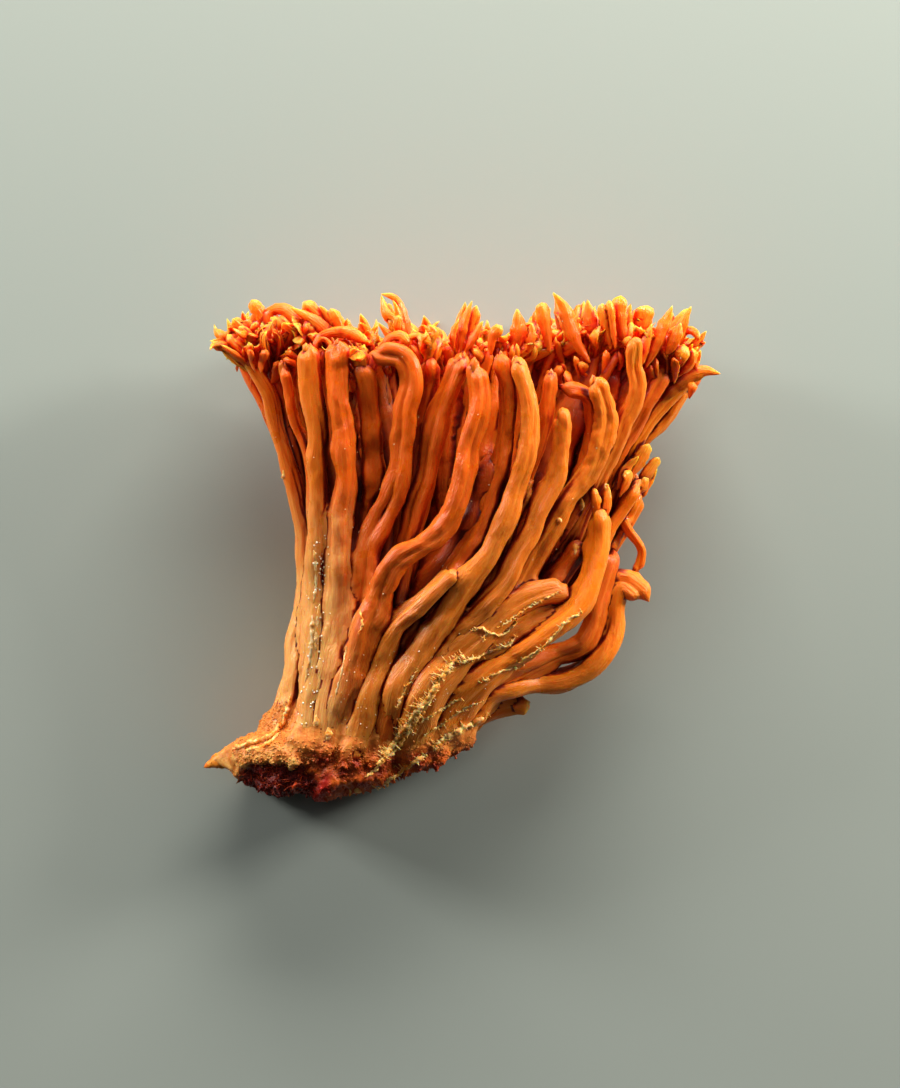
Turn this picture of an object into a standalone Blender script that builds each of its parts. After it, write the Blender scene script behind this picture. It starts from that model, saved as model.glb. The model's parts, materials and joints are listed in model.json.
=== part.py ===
"""A bunch of cordyceps: one crumbly foot and the stems that grow out of it.

The bunch lies on its back. +X is to the right, +Y runs from the foot to the crown and +Z is up.
Every stem follows a centre line drawn by hand, seen from above, with a depth for its base, middle
and tip. The lines are then spread apart until no stem touches the next one.
"""

import math
from collections import namedtuple

import bmesh
import bpy
import numpy as np

# Driving dimensions, in millimetres
MM = 0.001
GAP = 0.34
STEM_RADIUS = 1.6
BASE_RADIUS = 1.15
SEGMENT = 7.4
SHORT_SEGMENT = 4.6
STEM_SIDES = 6
FOOT_SIDES = 20
FOOT_STEP = 1.7
FORK_REACH = 0.5
FORK_RADIUS = 0.95
PRONG_RADIUS = 0.25
TIP_SHARE = 0.86
STUB_HEIGHT = 0.45
SKIN = 0.06

# A hand of three fingers: how high the left, middle and right one rise over the stem's end, and how
# much further than its first prong a finger's second prong leans inwards, falls short and rises
FINGER_RISES = (-0.9, 1.7, -0.9)
FORK_RISE = 0.9
TIP_RISE = 1.6
SECOND_PRONG = (0.7, -1.7, 1.3)
# Where the left, middle and right finger's third of the end ring begins
FINGER_STARTS = (4, 0, 2)

# A blunt end: how much smaller its last ring is, how far on it lies and how far on its point lies
BLUNT_RING = 0.62
BLUNT_STEP = 0.55
BLUNT_POINT = 0.8

# How the stems are spread apart: points per segment, turns, how readily they give way sideways
SAMPLES = np.linspace(0, 1, 6)
INSIDE = 0.97
ROUNDS = 460
SETTLING = 140
REFRESH = 8
SIDEWAYS = 0.3
EXTRA_GAP = 0.17
FIRST_GROWTH = 0.6
GROWTH = 0.8
EVENING = 0.25
SLIMMING_ROUNDS = 12
SLIMMING = 0.35
# A stem rises from its base at least this much for every millimetre that it runs sideways
LEAST_RISE = 0.45
# How near to the surface below a stem's centre line may come, in radii
LEAST_HEIGHT = 0.9
# How far off the foot a stem stays once it has left it, in radii
FOOT_CLEARANCE = 1.15
# How much flesh of the foot is left behind and in front of a stem's base
FOOT_BEHIND = 0.6
FOOT_IN_FRONT = 0.4
# A base ring slides along its stem by at most this much until it lies on the foot
MOST_SLIDE = 2.0
LEAST_CLIMB = 0.3

# The outline of the whole bunch as seen from above: (y, left edge, right edge, half of its depth)
OUTLINE = (
    (-44.0, -31.0, -4.0, 9.0),
    (-33.0, -31.0, -3.0, 9.5),
    (-20.0, -28.8, 15.0, 11.0),
    (-5.0, -27.0, 25.0, 13.0),
    (10.0, -29.0, 30.0, 14.5),
    (25.0, -33.5, 36.0, 16.0),
    (35.0, -39.0, 40.0, 17.0),
    (46.0, -36.0, 38.0, 16.0),
)

# The foot, from its spur to its thin right end: (x, lower edge y, upper edge y, lowest z, highest z).
# It is pressed flat on the surface that it lies on, so what would reach below z 0 is cut off there.
FOOT = (
    (-43.1, -36.75, -36.45, 8.2, 8.8),
    (-41.0, -36.1, -34.5, 7.2, 9.8),
    (-38.4, -37.5, -32.5, 4.6, 12.6),
    (-36.4, -40.1, -31.7, 1.8, 15.6),
    (-34.0, -41.2, -30.9, 0.0, 18.0),
    (-31.4, -42.3, -29.9, -0.5, 19.4),
    (-28.0, -42.1, -30.5, -0.8, 20.0),
    (-24.0, -42.1, -31.5, -0.8, 20.0),
    (-20.0, -41.1, -32.1, -0.8, 19.6),
    (-16.0, -40.3, -32.5, -0.6, 19.2),
    (-12.5, -39.0, -32.7, 0.0, 18.6),
    (-9.5, -36.8, -32.1, 0.8, 18.0),
    (-6.0, -34.7, -30.5, 1.4, 17.8),
    (-2.5, -31.9, -28.9, 2.4, 17.0),
    (1.0, -29.6, -27.7, 3.8, 15.4),
    (3.2, -28.5, -27.3, 6.4, 12.0),
)
CRUMB_SIZE = 0.75
FLAT_SHARE = 0.6
THICK_ENOUGH = 3.0
SQUARENESS = 0.6
MOST_SWELL = 1.04
LEAST_BASE_X, MOST_BASE_X = -29.2, 1.0

Stem = namedtuple("Stem", "name way depth radius tips colour bends")

ORANGE = (0.78, 0.30, 0.06)
GOLD = (0.90, 0.42, 0.08)
CREAM = (0.86, 0.55, 0.27)
RUST = (0.45, 0.10, 0.02)
DARK_CRUST = (0.16, 0.025, 0.008)


def front(name, way, depth, radius, tips=(), colour=ORANGE, bends=False):
    """A stem whose whole way shows from above. tips are the ends of its left, middle and right fingers."""
    return Stem(name, way, depth, radius, tips, colour, bends)


FRONT_STEMS = (
    front("stem_left_outer",
          ((-29.3, -29.5), (-28.3, -25), (-27.2, -20), (-26.8, -15), (-25.9, -10), (-25.5, -5), (-25.4, 0),
           (-26, 5), (-27.4, 10), (-28.7, 15), (-30, 20), (-31.2, 25), (-32.4, 28), (-34.4, 30.8), (-36, 32.5)),
          (0.6, 0.6, 0.7), 1.35, ((-39.7, 33.3), (-41.5, 34.6), (-40.6, 36.6)), CREAM),
    front("stem_left_second",
          ((-27, -31), (-26.3, -24), (-25.9, -15), (-25.3, -5), (-25, 0), (-25.3, 5), (-26.2, 10), (-27.3, 15),
           (-28.6, 20), (-30.1, 25), (-31.5, 29), (-33, 32.2)),
          (0.35, 0.45, 0.6), 1.3, ((-37.9, 35.4), (-37.7, 38.2), (-34.9, 37.4))),
    front("stem_left_short",
          ((-25.5, -31), (-25, -20), (-24.6, -8), (-24.5, 4), (-25, 12), (-26, 16.5), (-27.3, 20), (-27.9, 24),
           (-28.9, 28), (-29.4, 30.2)),
          (0.5, 0.6, 0.9), 1.2),
    front("stem_left_thin",
          ((-24.5, -31.5), (-24, -20), (-23.2, -8), (-23, 5), (-24, 14), (-25.4, 20), (-26.5, 25), (-26.9, 32),
           (-26, 36.5)),
          (0.4, 0.5, 0.62), 1.05, (), CREAM),
    front("stem_left_bold",
          ((-25.2, -31.2), (-24.2, -26), (-23.2, -20), (-22.6, -15), (-22.5, -8), (-22.6, -2), (-22.9, 4),
           (-23.3, 10), (-23.3, 15), (-23.6, 20), (-24.5, 25), (-25.2, 29), (-25, 32.6)),
          (0.95, 1.0, 0.95), 1.85, (), CREAM),
    front("stem_left_straight",
          ((-22.3, -31.8), (-22, -27), (-20.8, -21), (-19.8, -15), (-19.3, -8), (-19.2, -2), (-19.3, 4),
           (-18.7, 10), (-18.4, 15), (-18.9, 20), (-19.6, 24), (-19.6, 29), (-19.3, 33.3)),
          (0.95, 1.0, 0.95), 1.7),
    front("stem_twin_tip",
          ((-18.6, -32.2), (-17, -24), (-16.2, -14), (-15.5, -4), (-14.8, 4), (-14.4, 11), (-14.6, 15),
           (-14.8, 20), (-15, 23), (-15.8, 26), (-16.8, 29), (-16.8, 31)),
          (0.6, 0.74, 0.95), 1.75, ((-18.4, 33.6), (-17.1, 33), (-15.9, 33.8))),
    front("stem_hook_left",
          ((-19.5, -32.2), (-18.6, -25), (-17.4, -18), (-16.5, -12), (-15.6, -5.5), (-14.6, 1), (-12.8, 6.2),
           (-10.3, 11), (-10, 16), (-9.5, 21), (-8.6, 24), (-8.1, 26.8), (-8.7, 29.4), (-10.1, 31.8),
           (-11.7, 32.8), (-13.7, 32.2)),
          (0.82, 0.92, 0.95), 1.75, (), ORANGE, True),
    front("stem_broad_top",
          ((-17.4, -32.4), (-15.6, -26), (-13.5, -18), (-12, -9), (-10.2, -1), (-8.5, 6), (-7, 13), (-6, 20),
           (-5.3, 25), (-4.8, 29), (-5, 32)),
          (0.66, 0.7, 0.85), 1.7, ((-7.8, 36.2), (-5.2, 36.9), (-3, 36.2))),
    front("stem_middle_left",
          ((-15, -32.5), (-13.4, -26), (-11, -17), (-9.3, -8), (-8.2, 0), (-6.6, 7), (-5.2, 13), (-4, 19),
           (-2.9, 24), (-1.6, 28), (0, 31.2)),
          (0.86, 0.8, 0.9), 1.65),
    front("stem_crossing",
          ((-21, -32), (-19.8, -28), (-18.2, -23), (-16.7, -18), (-15.3, -13.5), (-13.6, -10), (-12.4, -6.5),
           (-10.8, -3), (-8, -0.8), (-4.4, 1.8), (-1.7, 5), (0.2, 10), (1.1, 15), (2.3, 20), (3.1, 24),
           (3, 27), (2.8, 29.8)),
          (1.0, 1.04, 1.0), 1.65, (), ORANGE, True),
    front("stem_pale_left",
          ((-13.5, -32.6), (-11.8, -26), (-9, -19), (-5.8, -12.5), (-2, -6), (1.5, -0.5), (4.2, 5), (5.8, 10),
           (7, 15), (7.9, 20), (8, 25), (7.5, 28.5), (7, 31)),
          (0.9, 0.96, 0.95), 1.55),
    front("stem_pale_right",
          ((-12.5, -32.6), (-10.5, -26), (-7.2, -19), (-3.8, -13), (0, -7.5), (3.8, -2.5), (6.2, 2.5), (8, 7),
           (9.8, 12), (11.2, 17), (11.6, 21), (11.2, 25), (10.3, 28), (9.4, 30.4)),
          (0.96, 1.04, 1.0), 1.6, (), CREAM),
    front("stem_knob",
          ((-11.5, -32.5), (-8.6, -25), (-4, -17), (0.5, -10), (4.8, -3), (8.2, 4), (10.8, 10), (12.7, 15.5),
           (13.8, 19), (14.8, 22), (15.5, 25), (15.3, 28.6)),
          (0.7, 0.76, 0.85), 1.2),
    front("stem_bright",
          ((-10.3, -32.4), (-8.2, -27), (-5, -22), (-1, -17), (3, -12.7), (6.6, -9.2), (9, -6), (11, -1),
           (13, 4), (14.9, 8), (16.2, 12), (16.6, 16), (16.7, 19.5), (16.8, 22.2)),
          (0.94, 1.02, 1.0), 1.5, (), CREAM),
    front("stem_bright_short",
          ((-9.3, -32.2), (-6.6, -26.5), (-3, -21), (1, -16), (4.3, -11), (6.1, -6), (7.7, -1), (9.3, 4),
           (11.4, 7.7), (13.1, 10.2)),
          (0.84, 0.96, 1.0), 1.5, (), CREAM),
    front("stem_arch",
          ((-7.5, -31.4), (-4, -25), (1.5, -18), (7.5, -11), (11, -4), (14.2, 2), (17, 8), (19.6, 13),
           (21.1, 17.5), (21.6, 21.5), (20.9, 24.8), (19.3, 26.6), (16.8, 26.5)),
          (0.55, 0.66, 0.85), 1.35, (), ORANGE, True),
    front("stem_right_bold",
          ((-8.5, -31.8), (-5, -25), (0, -18.5), (5.5, -12), (9.5, -5), (13, 1), (16, 6.5), (19.2, 11),
           (22, 14.5), (23.3, 18), (23.8, 21.5), (23.2, 25), (22.3, 27.4)),
          (0.74, 0.84, 0.97), 1.65, (), CREAM),
    front("stem_pale_tongue",
          ((-6, -30.5), (-1, -24), (6, -16), (12, -8), (16.5, -1), (20, 6), (23.5, 13), (26.5, 19),
           (28.9, 24.5), (28.6, 29), (28.7, 34)),
          (0.6, 0.68, 0.95), 1.3, (), CREAM),
    front("stem_right_knob",
          ((-5, -30), (1, -23), (8.5, -15), (14.5, -7), (19, 0), (22.5, 6.5), (25.5, 13), (28, 18.8),
           (30, 22), (31.5, 24.5), (32.5, 27), (33.8, 29.5)),
          (0.42, 0.6, 0.85), 1.4),
    front("stem_right_horn",
          ((-4, -29.6), (3, -22), (10.5, -13.5), (16.5, -5), (21, 2.5), (24.5, 10), (27.5, 16.5),
           (30.5, 20.8), (33.5, 24.3), (36.6, 27.6), (39.4, 29.3)),
          (0.5, 0.6, 0.8), 1.25, ((39.4, 32), (41, 31.4), (43.3, 29.1)), GOLD),
    front("stem_right_outer",
          ((-6.4, -30.7), (3.4, -20.5), (12.1, -11.5), (18.5, -3), (22.5, 4), (25.5, 10.5), (28.2, 16),
           (31, 19.3), (33.9, 21.9), (36, 24.5), (38, 27.5)),
          (0.1, 0.3, 0.5), 1.35, (), GOLD),
    front("stem_tier_outer",
          ((-3, -29.1), (5.4, -21.5), (12.8, -14), (18.5, -7.5), (22.5, -2), (25.3, 2.2), (27.8, 6), (29.6, 9.8)),
          (0.5, 0.5, 0.5), 1.3, ((31, 14.2), (33, 15.3), (32.8, 13.3)), GOLD),
    front("stem_tier_inner",
          ((-4.5, -29.8), (3, -21.5), (10, -13.5), (16, -6), (20.5, 0.5), (23.5, 5.2), (26.3, 9), (27.9, 12.8)),
          (0.65, 0.6, 0.6), 1.3, ((28.8, 17.6), (30.4, 17.6), (31.4, 17.2)), GOLD),
    front("stem_forked_top",
          ((-5.2, -30.2), (-3, -26.5), (0.4, -22.3), (5, -18.7), (10, -15.3), (14.3, -12), (17.6, -8.6),
           (20.3, -5), (22.2, 0), (23.1, 4), (23, 7)),
          (1.05, 1.06, 1.0), 1.75, ((21.9, 10), (23.3, 10.6), (24.4, 10.8)), GOLD),
    front("stem_under_loop",
          ((-3.8, -29.5), (-1, -26.2), (3.5, -23.4), (8, -21), (13, -18.8), (17.5, -17), (20.3, -15),
           (21.6, -11.5), (22.6, -7.5), (23.8, -3.5), (24.4, -0.2)),
          (0.8, 0.6, 0.6), 1.4, (), ORANGE, True),
    front("stem_big_loop",
          ((-0.6, -28.1), (2, -26.5), (5.5, -25), (10, -23.5), (15, -22.8), (19.5, -21), (22.8, -18.2),
           (24.2, -14.5), (24.8, -10), (25.3, -7), (26.8, -5.7), (28.7, -6.3), (30.7, -8)),
          (0.9, 0.75, 0.6), 1.8, (), GOLD, True),
    front("stem_pale_stub",
          ((-16.5, -32.4), (-15.8, -27), (-14.8, -21), (-13.8, -17.5), (-12.3, -14.5), (-9, -11.5),
           (-5.5, -8.5), (-2.5, -5.3), (-1, -4)),
          (1.0, 1.04, 1.06), 1.45, (), CREAM),
    front("stem_lobe_upper",
          ((-9.2, -32), (-5.6, -26.5), (-1.3, -20.5), (3, -15.6), (7, -11.5), (10.5, -8.8), (14, -7.2), (17.2, -6.2)),
          (1.0, 0.9, 0.84), 1.35, (), CREAM),
    front("stem_lobe_lower",
          ((-8.2, -31.8), (-3.6, -25), (1.2, -19.5), (6, -15), (10, -11.9), (13.5, -10), (16.8, -8.9)),
          (1.0, 1.0, 0.95), 1.3, (), CREAM),
    front("stem_hidden_right",
          ((-9, -32), (-4, -24), (3, -15.5), (9, -8), (13.5, -1), (17, 4), (20.5, 8.5), (23.3, 12), (25, 14.5)),
          (0.5, 0.5, 0.6), 1.5, (), RUST),
    front("stem_hidden_stub",
          ((-6.2, -30.7), (0, -24), (7, -16), (12.5, -9.5), (16.5, -3.5), (19.4, 0.6)),
          (0.7, 0.7, 0.75), 1.45),
    front("stem_dark_middle",
          ((-12.6, -32.6), (-11, -25), (-8, -16), (-4, -8), (0, -1), (3, 6), (4.3, 11), (4.8, 14.8)),
          (0.8, 0.78, 0.85), 1.4, (), RUST),
)

# Short stems that grow from the side of another stem: one hangs from the outer tier down to the
# big loop's hook, the other is a blunt drop under the big loop
SIDE_SHOOTS = (
    front("side_shoot", ((28.2, 2.9), (29.3, 1.2), (29.8, -1.2), (29.6, -3.4), (29.1, -4.7)),
          (0.5, 0.5, 0.5), 0.7, (), GOLD, True),
    front("side_drop", ((4.4, -26.6), (6.8, -26.4), (9, -26.2), (10.7, -25.8)),
          (0.3, 0.3, 0.3), 1.3, (), GOLD),
)

# Stems that show only at the crown: (share of the way across, depth, end of the stem, fingertips)
CROWN_STEMS = (
    (0.03, 0.30, (-34, 34.2), ((-37, 37), (-36.3, 39.6), (-34.7, 41.4))),
    (0.09, 0.45, (-30, 34.2), ((-32.3, 39.7), (-30.5, 39.2), (-28.6, 40))),
    (0.16, 0.55, (-24.6, 34.2), ((-26.3, 41), (-24.5, 40.8), (-23.2, 40.2))),
    (0.22, 0.50, (-20, 33.6), ((-21.5, 39.8), (-20, 38.9), (-18.4, 38.1))),
    (0.29, 0.62, (-15.4, 32), ((-17.2, 35.8), (-15.4, 36.2), (-13.6, 37.2))),
    (0.35, 0.55, (-9.6, 34.2), ((-13.2, 42.2), (-10.4, 38.6), (-8, 37))),
    (0.42, 0.42, (-4, 32), ((-5.8, 36.6), (-3.8, 36.9), (-1.6, 36.2))),
    (0.50, 0.60, (1.2, 34), ((1, 40.8), (2.5, 40.3), (3.7, 37.6))),
    (0.57, 0.66, (5.8, 32), ((5, 36), (6.5, 36.8), (8, 35.6))),
    (0.64, 0.58, (11.6, 33.6), ((9.4, 39.6), (11.8, 37.4), (13.6, 40.7))),
    (0.71, 0.55, (17.8, 34.6), ((15.3, 42.5), (18.2, 40.2), (20.6, 41.3))),
    (0.78, 0.62, (23.2, 34.6), ((22.4, 40.4), (24.4, 41), (26.4, 41.9))),
    (0.85, 0.50, (28.2, 34.2), ((28, 40.5), (29.8, 39.6), (31.2, 40.3))),
    (0.92, 0.62, (32.8, 32.6), ((35, 40), (36.4, 37.4), (38.2, 40))),
    (0.97, 0.45, (36, 30.4), ((37.6, 35.4), (40.6, 36), (39.2, 32.6))),
)

# Stems that lie along the surface under the bunch: (share of the way across, end of the stem)
BACK_STEMS = (
    (0.07, (-34.5, 32.4)),
    (0.19, (-24.5, 33.6)),
    (0.31, (-15, 33.2)),
    (0.43, (-5.5, 33.8)),
    (0.55, (4, 33.4)),
    (0.67, (13.5, 34)),
    (0.80, (23.5, 33.2)),
    (0.92, (33.5, 31)),
)
# Where the hidden stems run: (y, x of the leftmost, x of the rightmost)
FAN = (
    (-20.0, -26.8, 1.5),
    (-8.0, -25.0, 11.5),
    (4.0, -25.5, 20.5),
    (16.0, -28.5, 28.0),
    (26.0, -32.0, 34.0),
)
FIRST_BASE_X = -29.2
LAST_BASE_X = -8.0
CROWN_RADIUS = 1.5
BACK_DEPTH = 0.0
# The crown from its left end: where it starts and how wide it is
CROWN_START, CROWN_WIDTH = -36.0, 74.0
# The hidden stems' fingertips: how they lean with x, how far they reach and how far apart they are
TIP_LEAN = 0.12
TIP_REACH = 5.6
TIP_UNEVENNESS = 0.9
TIP_SPREAD = 2.6


def column(table, index):
    return [row[index] for row in table]


def edge_at(y, index):
    """One of the outline's edges, or half its depth, at a given y."""
    return np.interp(y, column(OUTLINE, 0), column(OUTLINE, index))


def foot_at(x, index):
    return np.interp(x, column(FOOT, 0), column(FOOT, index))


def place_in_depth(points, share):
    """z of points whose depth is a share: 0 lies on the surface below and 1 is on top."""
    x, y = points[:, 0], points[:, 1]
    left, right, half = edge_at(y, 1), edge_at(y, 2), edge_at(y, 3)
    across = np.clip((2 * x - left - right) / (right - left), -INSIDE, INSIDE)
    return half + (half - STEM_RADIUS) * (2 * share - 1) * np.sqrt(1 - across ** 2)


def smooth_way(points, spacing):
    """The points of a smooth curve through hand-drawn points, at an even spacing along it."""
    points = np.array(points, float)
    padded = np.vstack([2 * points[0] - points[1], points, 2 * points[-1] - points[-2]])
    fine = []
    for a, b, c, d in zip(padded, padded[1:], padded[2:], padded[3:]):
        for t in np.linspace(0, 1, 12, endpoint=False):
            fine.append(0.5 * (2 * b + (c - a) * t + (2 * a - 5 * b + 4 * c - d) * t ** 2
                               + (3 * b - a - 3 * c + d) * t ** 3))
    fine = np.array(fine + [points[-1]])
    along = np.concatenate([[0], np.cumsum(np.linalg.norm(np.diff(fine, axis=0), axis=1))])
    count = max(3, int(round(along[-1] / spacing)) + 1)
    places = np.linspace(0, along[-1], count)
    return np.column_stack([np.interp(places, along, fine[:, i]) for i in range(2)])


def fan_way(share, end):
    """A hidden stem fans out between the bunch's edges, from the foot's upper face to its end."""
    base_x = FIRST_BASE_X + share * (LAST_BASE_X - FIRST_BASE_X)
    way = [(base_x, foot_at(base_x, 2))]
    end_share = (end[0] - CROWN_START) / CROWN_WIDTH
    for y, left, right in FAN:
        pull = ((y - FAN[0][0]) / (end[1] - FAN[0][0])) ** 2
        way.append((left + (share + pull * (end_share - share)) * (right - left), y))
    way.append(end)
    return tuple(way)


def fan_tips(end, number):
    """Three fingertips that spread from a hidden stem's end."""
    x, y = end[0] + TIP_LEAN * end[0], end[1] + TIP_REACH + TIP_UNEVENNESS * math.sin(2.4 * number)
    return (x - TIP_SPREAD, y - 1.0), (x, y), (x + TIP_SPREAD, y - 0.8)


def all_stems():
    stems = list(FRONT_STEMS)
    for number, (share, depth, end, tips) in enumerate(CROWN_STEMS, 1):
        stems.append(Stem(f"stem_crown_{number:02d}", fan_way(share, end), (depth, depth, depth),
                          CROWN_RADIUS, tips, ORANGE, False))
    for number, (share, end) in enumerate(BACK_STEMS, 1):
        stems.append(Stem(f"stem_back_{number:02d}", fan_way(share, end), (BACK_DEPTH,) * 3,
                          CROWN_RADIUS, fan_tips(end, number), ORANGE, False))
    return stems + list(SIDE_SHOOTS)


class Bunch:
    """The joints of every stem and finger, with their radii, and the segments between them."""

    def __init__(self, stems):
        self.points, self.radii, self.owner = [], [], []
        self.segments, self.trunks, self.fingers = [], [], []
        self.bases = []
        for number, stem in enumerate(stems):
            self.add_stem(number, stem)
        self.trunks = [np.array(trunk) for trunk in self.trunks]
        self.points = np.array(self.points)
        self.radii = np.array(self.radii)
        self.owner = np.array(self.owner)
        self.segments = np.array(self.segments)

    def add_joint(self, number, place, radius):
        self.points.append(place)
        self.radii.append(radius)
        self.owner.append(number)
        return len(self.points) - 1

    def add_stem(self, number, stem):
        way = smooth_way(stem.way, SHORT_SEGMENT if stem.bends else SEGMENT)
        along = np.linspace(0, 1, len(way))
        depth = np.interp(along, (0, 0.5, 1), stem.depth)
        z = place_in_depth(way, depth)
        slim = min(BASE_RADIUS, stem.radius)
        radius = np.interp(along, (0, 0.45, 0.85, 1),
                           (slim, stem.radius, stem.radius, TIP_SHARE * stem.radius))
        trunk = [self.add_joint(number, (x, y, height), r) for (x, y), height, r in zip(way, z, radius)]
        self.trunks.append(trunk)
        self.segments += list(zip(trunk, trunk[1:]))
        if stem not in SIDE_SHOOTS:
            self.bases.append(trunk[0])
        self.fingers.append([])
        if stem.tips:
            self.add_fingers(number, trunk, stem.tips)

    def add_fingers(self, number, trunk, tips):
        end = np.array(self.points[trunk[-1]])
        inwards, short, higher = SECOND_PRONG
        for side, (tip, rise) in enumerate(zip(tips, FINGER_RISES)):
            tip = np.array((tip[0], tip[1], end[2] + TIP_RISE * rise))
            fork = end + FORK_REACH * (tip - end)
            fork[2] = end[2] + FORK_RISE * rise
            joint = self.add_joint(number, fork, FORK_RADIUS)
            second = tip + np.array((inwards * (1 - side), short, higher * rise))
            prongs = [self.add_joint(number, tip, PRONG_RADIUS), self.add_joint(number, second, PRONG_RADIUS)]
            self.segments += [(trunk[-1], joint), (joint, prongs[0]), (joint, prongs[1])]
            self.fingers[-1].append((joint, prongs))


def touching_pairs(places, radii, stem, reach):
    """Pairs of sample points of different stems that are nearer than reach beyond their radii."""
    flat = places.astype(np.float32)
    square = (flat ** 2).sum(1)
    apart = square[:, None] + square[None, :] - 2 * flat @ flat.T
    need = (radii[:, None] + radii[None, :] + reach).astype(np.float32)
    first, second = np.nonzero((apart < need ** 2) & (stem[:, None] < stem[None, :]))
    return first, second


class Samples:
    """Points at even steps along every segment, which stand for the stems when they press."""

    def __init__(self, bunch):
        low, high = bunch.segments[:, 0], bunch.segments[:, 1]
        self.share = np.tile(SAMPLES, len(low))
        self.low, self.high = np.repeat(low, len(SAMPLES)), np.repeat(high, len(SAMPLES))
        self.stem = bunch.owner[self.low]

    def blend(self, values):
        share = self.share[:, None] if values.ndim > 1 else self.share
        return values[self.low] * (1 - share) + values[self.high] * share


def spread_apart(bunch):
    """Push the joints until the stems clear each other, in depth before sideways."""
    give = np.array((SIDEWAYS, SIDEWAYS, 1.0))
    samples = Samples(bunch)
    radii = samples.blend(bunch.radii)
    start = bunch.points.copy()
    for turn in range(ROUNDS):
        grown = min(1.0, FIRST_GROWTH + GROWTH * turn / ROUNDS)
        places = samples.blend(bunch.points)
        if turn % REFRESH == 0:
            first, second = touching_pairs(places, radii, samples.stem, GAP + STEM_RADIUS)
        way = places[second] - places[first]
        length = np.maximum(np.linalg.norm(way, axis=1), 1e-6)
        press = (radii[first] + radii[second] + GAP + EXTRA_GAP) * grown - length
        hit = press > 0
        way = way[hit] / length[hit, None]
        push = (press[hit] / (way ** 2 @ give))[:, None] * way * give * 0.5
        moves = np.zeros_like(bunch.points)
        counts = np.zeros(len(bunch.points))
        for picked, sign in ((first[hit], -1), (second[hit], 1)):
            share = samples.share[picked]
            weight = 1 / ((1 - share) ** 2 + share ** 2)
            for joint, part in ((samples.low[picked], 1 - share), (samples.high[picked], share)):
                np.add.at(moves, joint, sign * push * (weight * part)[:, None])
                np.add.at(counts, joint, part)
        bunch.points += moves / np.maximum(counts, 1)[:, None]
        if turn < ROUNDS - SETTLING:
            drift = bunch.points - start
            for line in bunch.trunks:
                middle = (drift[line[:-2]] + drift[line[2:]]) / 2
                drift[line[1:-1]] += EVENING * (middle - drift[line[1:-1]])
            bunch.points = start + drift
        keep_in_place(bunch)


def slim_where_crowded(bunch):
    """Stems that still press are slimmer there, as stems that grow against each other are."""
    samples = Samples(bunch)
    places = samples.blend(bunch.points)
    first, second = touching_pairs(places, samples.blend(bunch.radii), samples.stem, GAP + EXTRA_GAP)
    length = np.linalg.norm(places[second] - places[first], axis=1)
    for _ in range(SLIMMING_ROUNDS):
        radii = samples.blend(bunch.radii)
        press = radii[first] + radii[second] + GAP - length
        hit = press > 0
        for picked in (first[hit], second[hit]):
            for joint in (samples.low[picked], samples.high[picked]):
                np.minimum.at(bunch.radii, joint, bunch.radii[joint] - SLIMMING * press[hit])
    return max(press.max(), 0.0)


def keep_in_place(bunch):
    """Stems start on the foot's upper face, stay off it further up, and stay above the surface below."""
    points, radii = bunch.points, bunch.radii
    points[:, 2] = np.maximum(points[:, 2], radii * LEAST_HEIGHT)
    on_foot = points[:, 0] < FOOT[-1][0]
    face = foot_at(points[:, 0], 2)
    lowest = np.where(on_foot, face + FOOT_CLEARANCE * radii + GAP, -np.inf)
    bases = np.array(bunch.bases)
    free = np.ones(len(points), bool)
    free[bases] = False
    points[free, 1] = np.maximum(points[free, 1], lowest[free])
    points[bases, 0] = np.clip(points[bases, 0], LEAST_BASE_X, MOST_BASE_X)
    points[bases, 1] = foot_at(points[bases, 0], 2) + GAP + STUB_HEIGHT
    seconds = bases + 1
    run = np.abs(points[seconds, 0] - points[bases, 0])
    points[seconds, 1] = np.maximum(points[seconds, 1], points[bases, 1] + LEAST_RISE * run + 1.0)
    bottom = foot_at(points[bases, 0], 3) + BASE_RADIUS + FOOT_BEHIND
    top = foot_at(points[bases, 0], 4) - BASE_RADIUS - FOOT_IN_FRONT
    points[bases, 2] = np.clip(points[bases, 2], bottom, top)


def unit(vector):
    return vector / np.linalg.norm(vector)


def ring(centre, along, radius):
    """Points round a stem, in turn from its left side over its top, starting 30 degrees up."""
    left = unit(np.cross((0, 0, 1), along))
    up = np.cross(along, left)
    angles = [math.radians(30 + 360 / STEM_SIDES * k) for k in range(STEM_SIDES)]
    return [centre + radius * (math.cos(a) * left + math.sin(a) * up) for a in angles]


def loft(rings):
    """A closed solid that grows from the first ring to the last by extruding its end face."""
    bm = bmesh.new()
    first = [bm.verts.new(place) for place in rings[0]]
    second = [bm.verts.new(place) for place in rings[1]]
    bm.faces.new(first[::-1])
    for k in range(len(first)):
        bm.faces.new((first[k - 1], first[k], second[k], second[k - 1]))
    end = bm.faces.new(second)
    for places in rings[2:]:
        end = bmesh.ops.extrude_discrete_faces(bm, faces=[end])["faces"][0]
        for vert, place in zip(end.verts, places):
            vert.co = place
    return bm, end


def tangents(line):
    ways = [unit(b - a) for a, b in zip(line, line[1:])]
    inner = [unit(a + b) for a, b in zip(ways, ways[1:])]
    return [ways[0]] + inner + [ways[-1]]


def sit_on_foot(places, along):
    """Slide a base ring along its stem until it lies on the foot's upper face, a gap above it."""
    if along[1] < LEAST_CLIMB:
        return places
    seated = []
    for place in places:
        slide = 0.0
        for _ in range(4):
            face = foot_at(place[0] - slide * along[0], 2) + GAP
            slide = (place[1] - face) / along[1]
        seated.append(place - np.clip(slide, -MOST_SLIDE, MOST_SLIDE) * along)
    return seated


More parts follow.
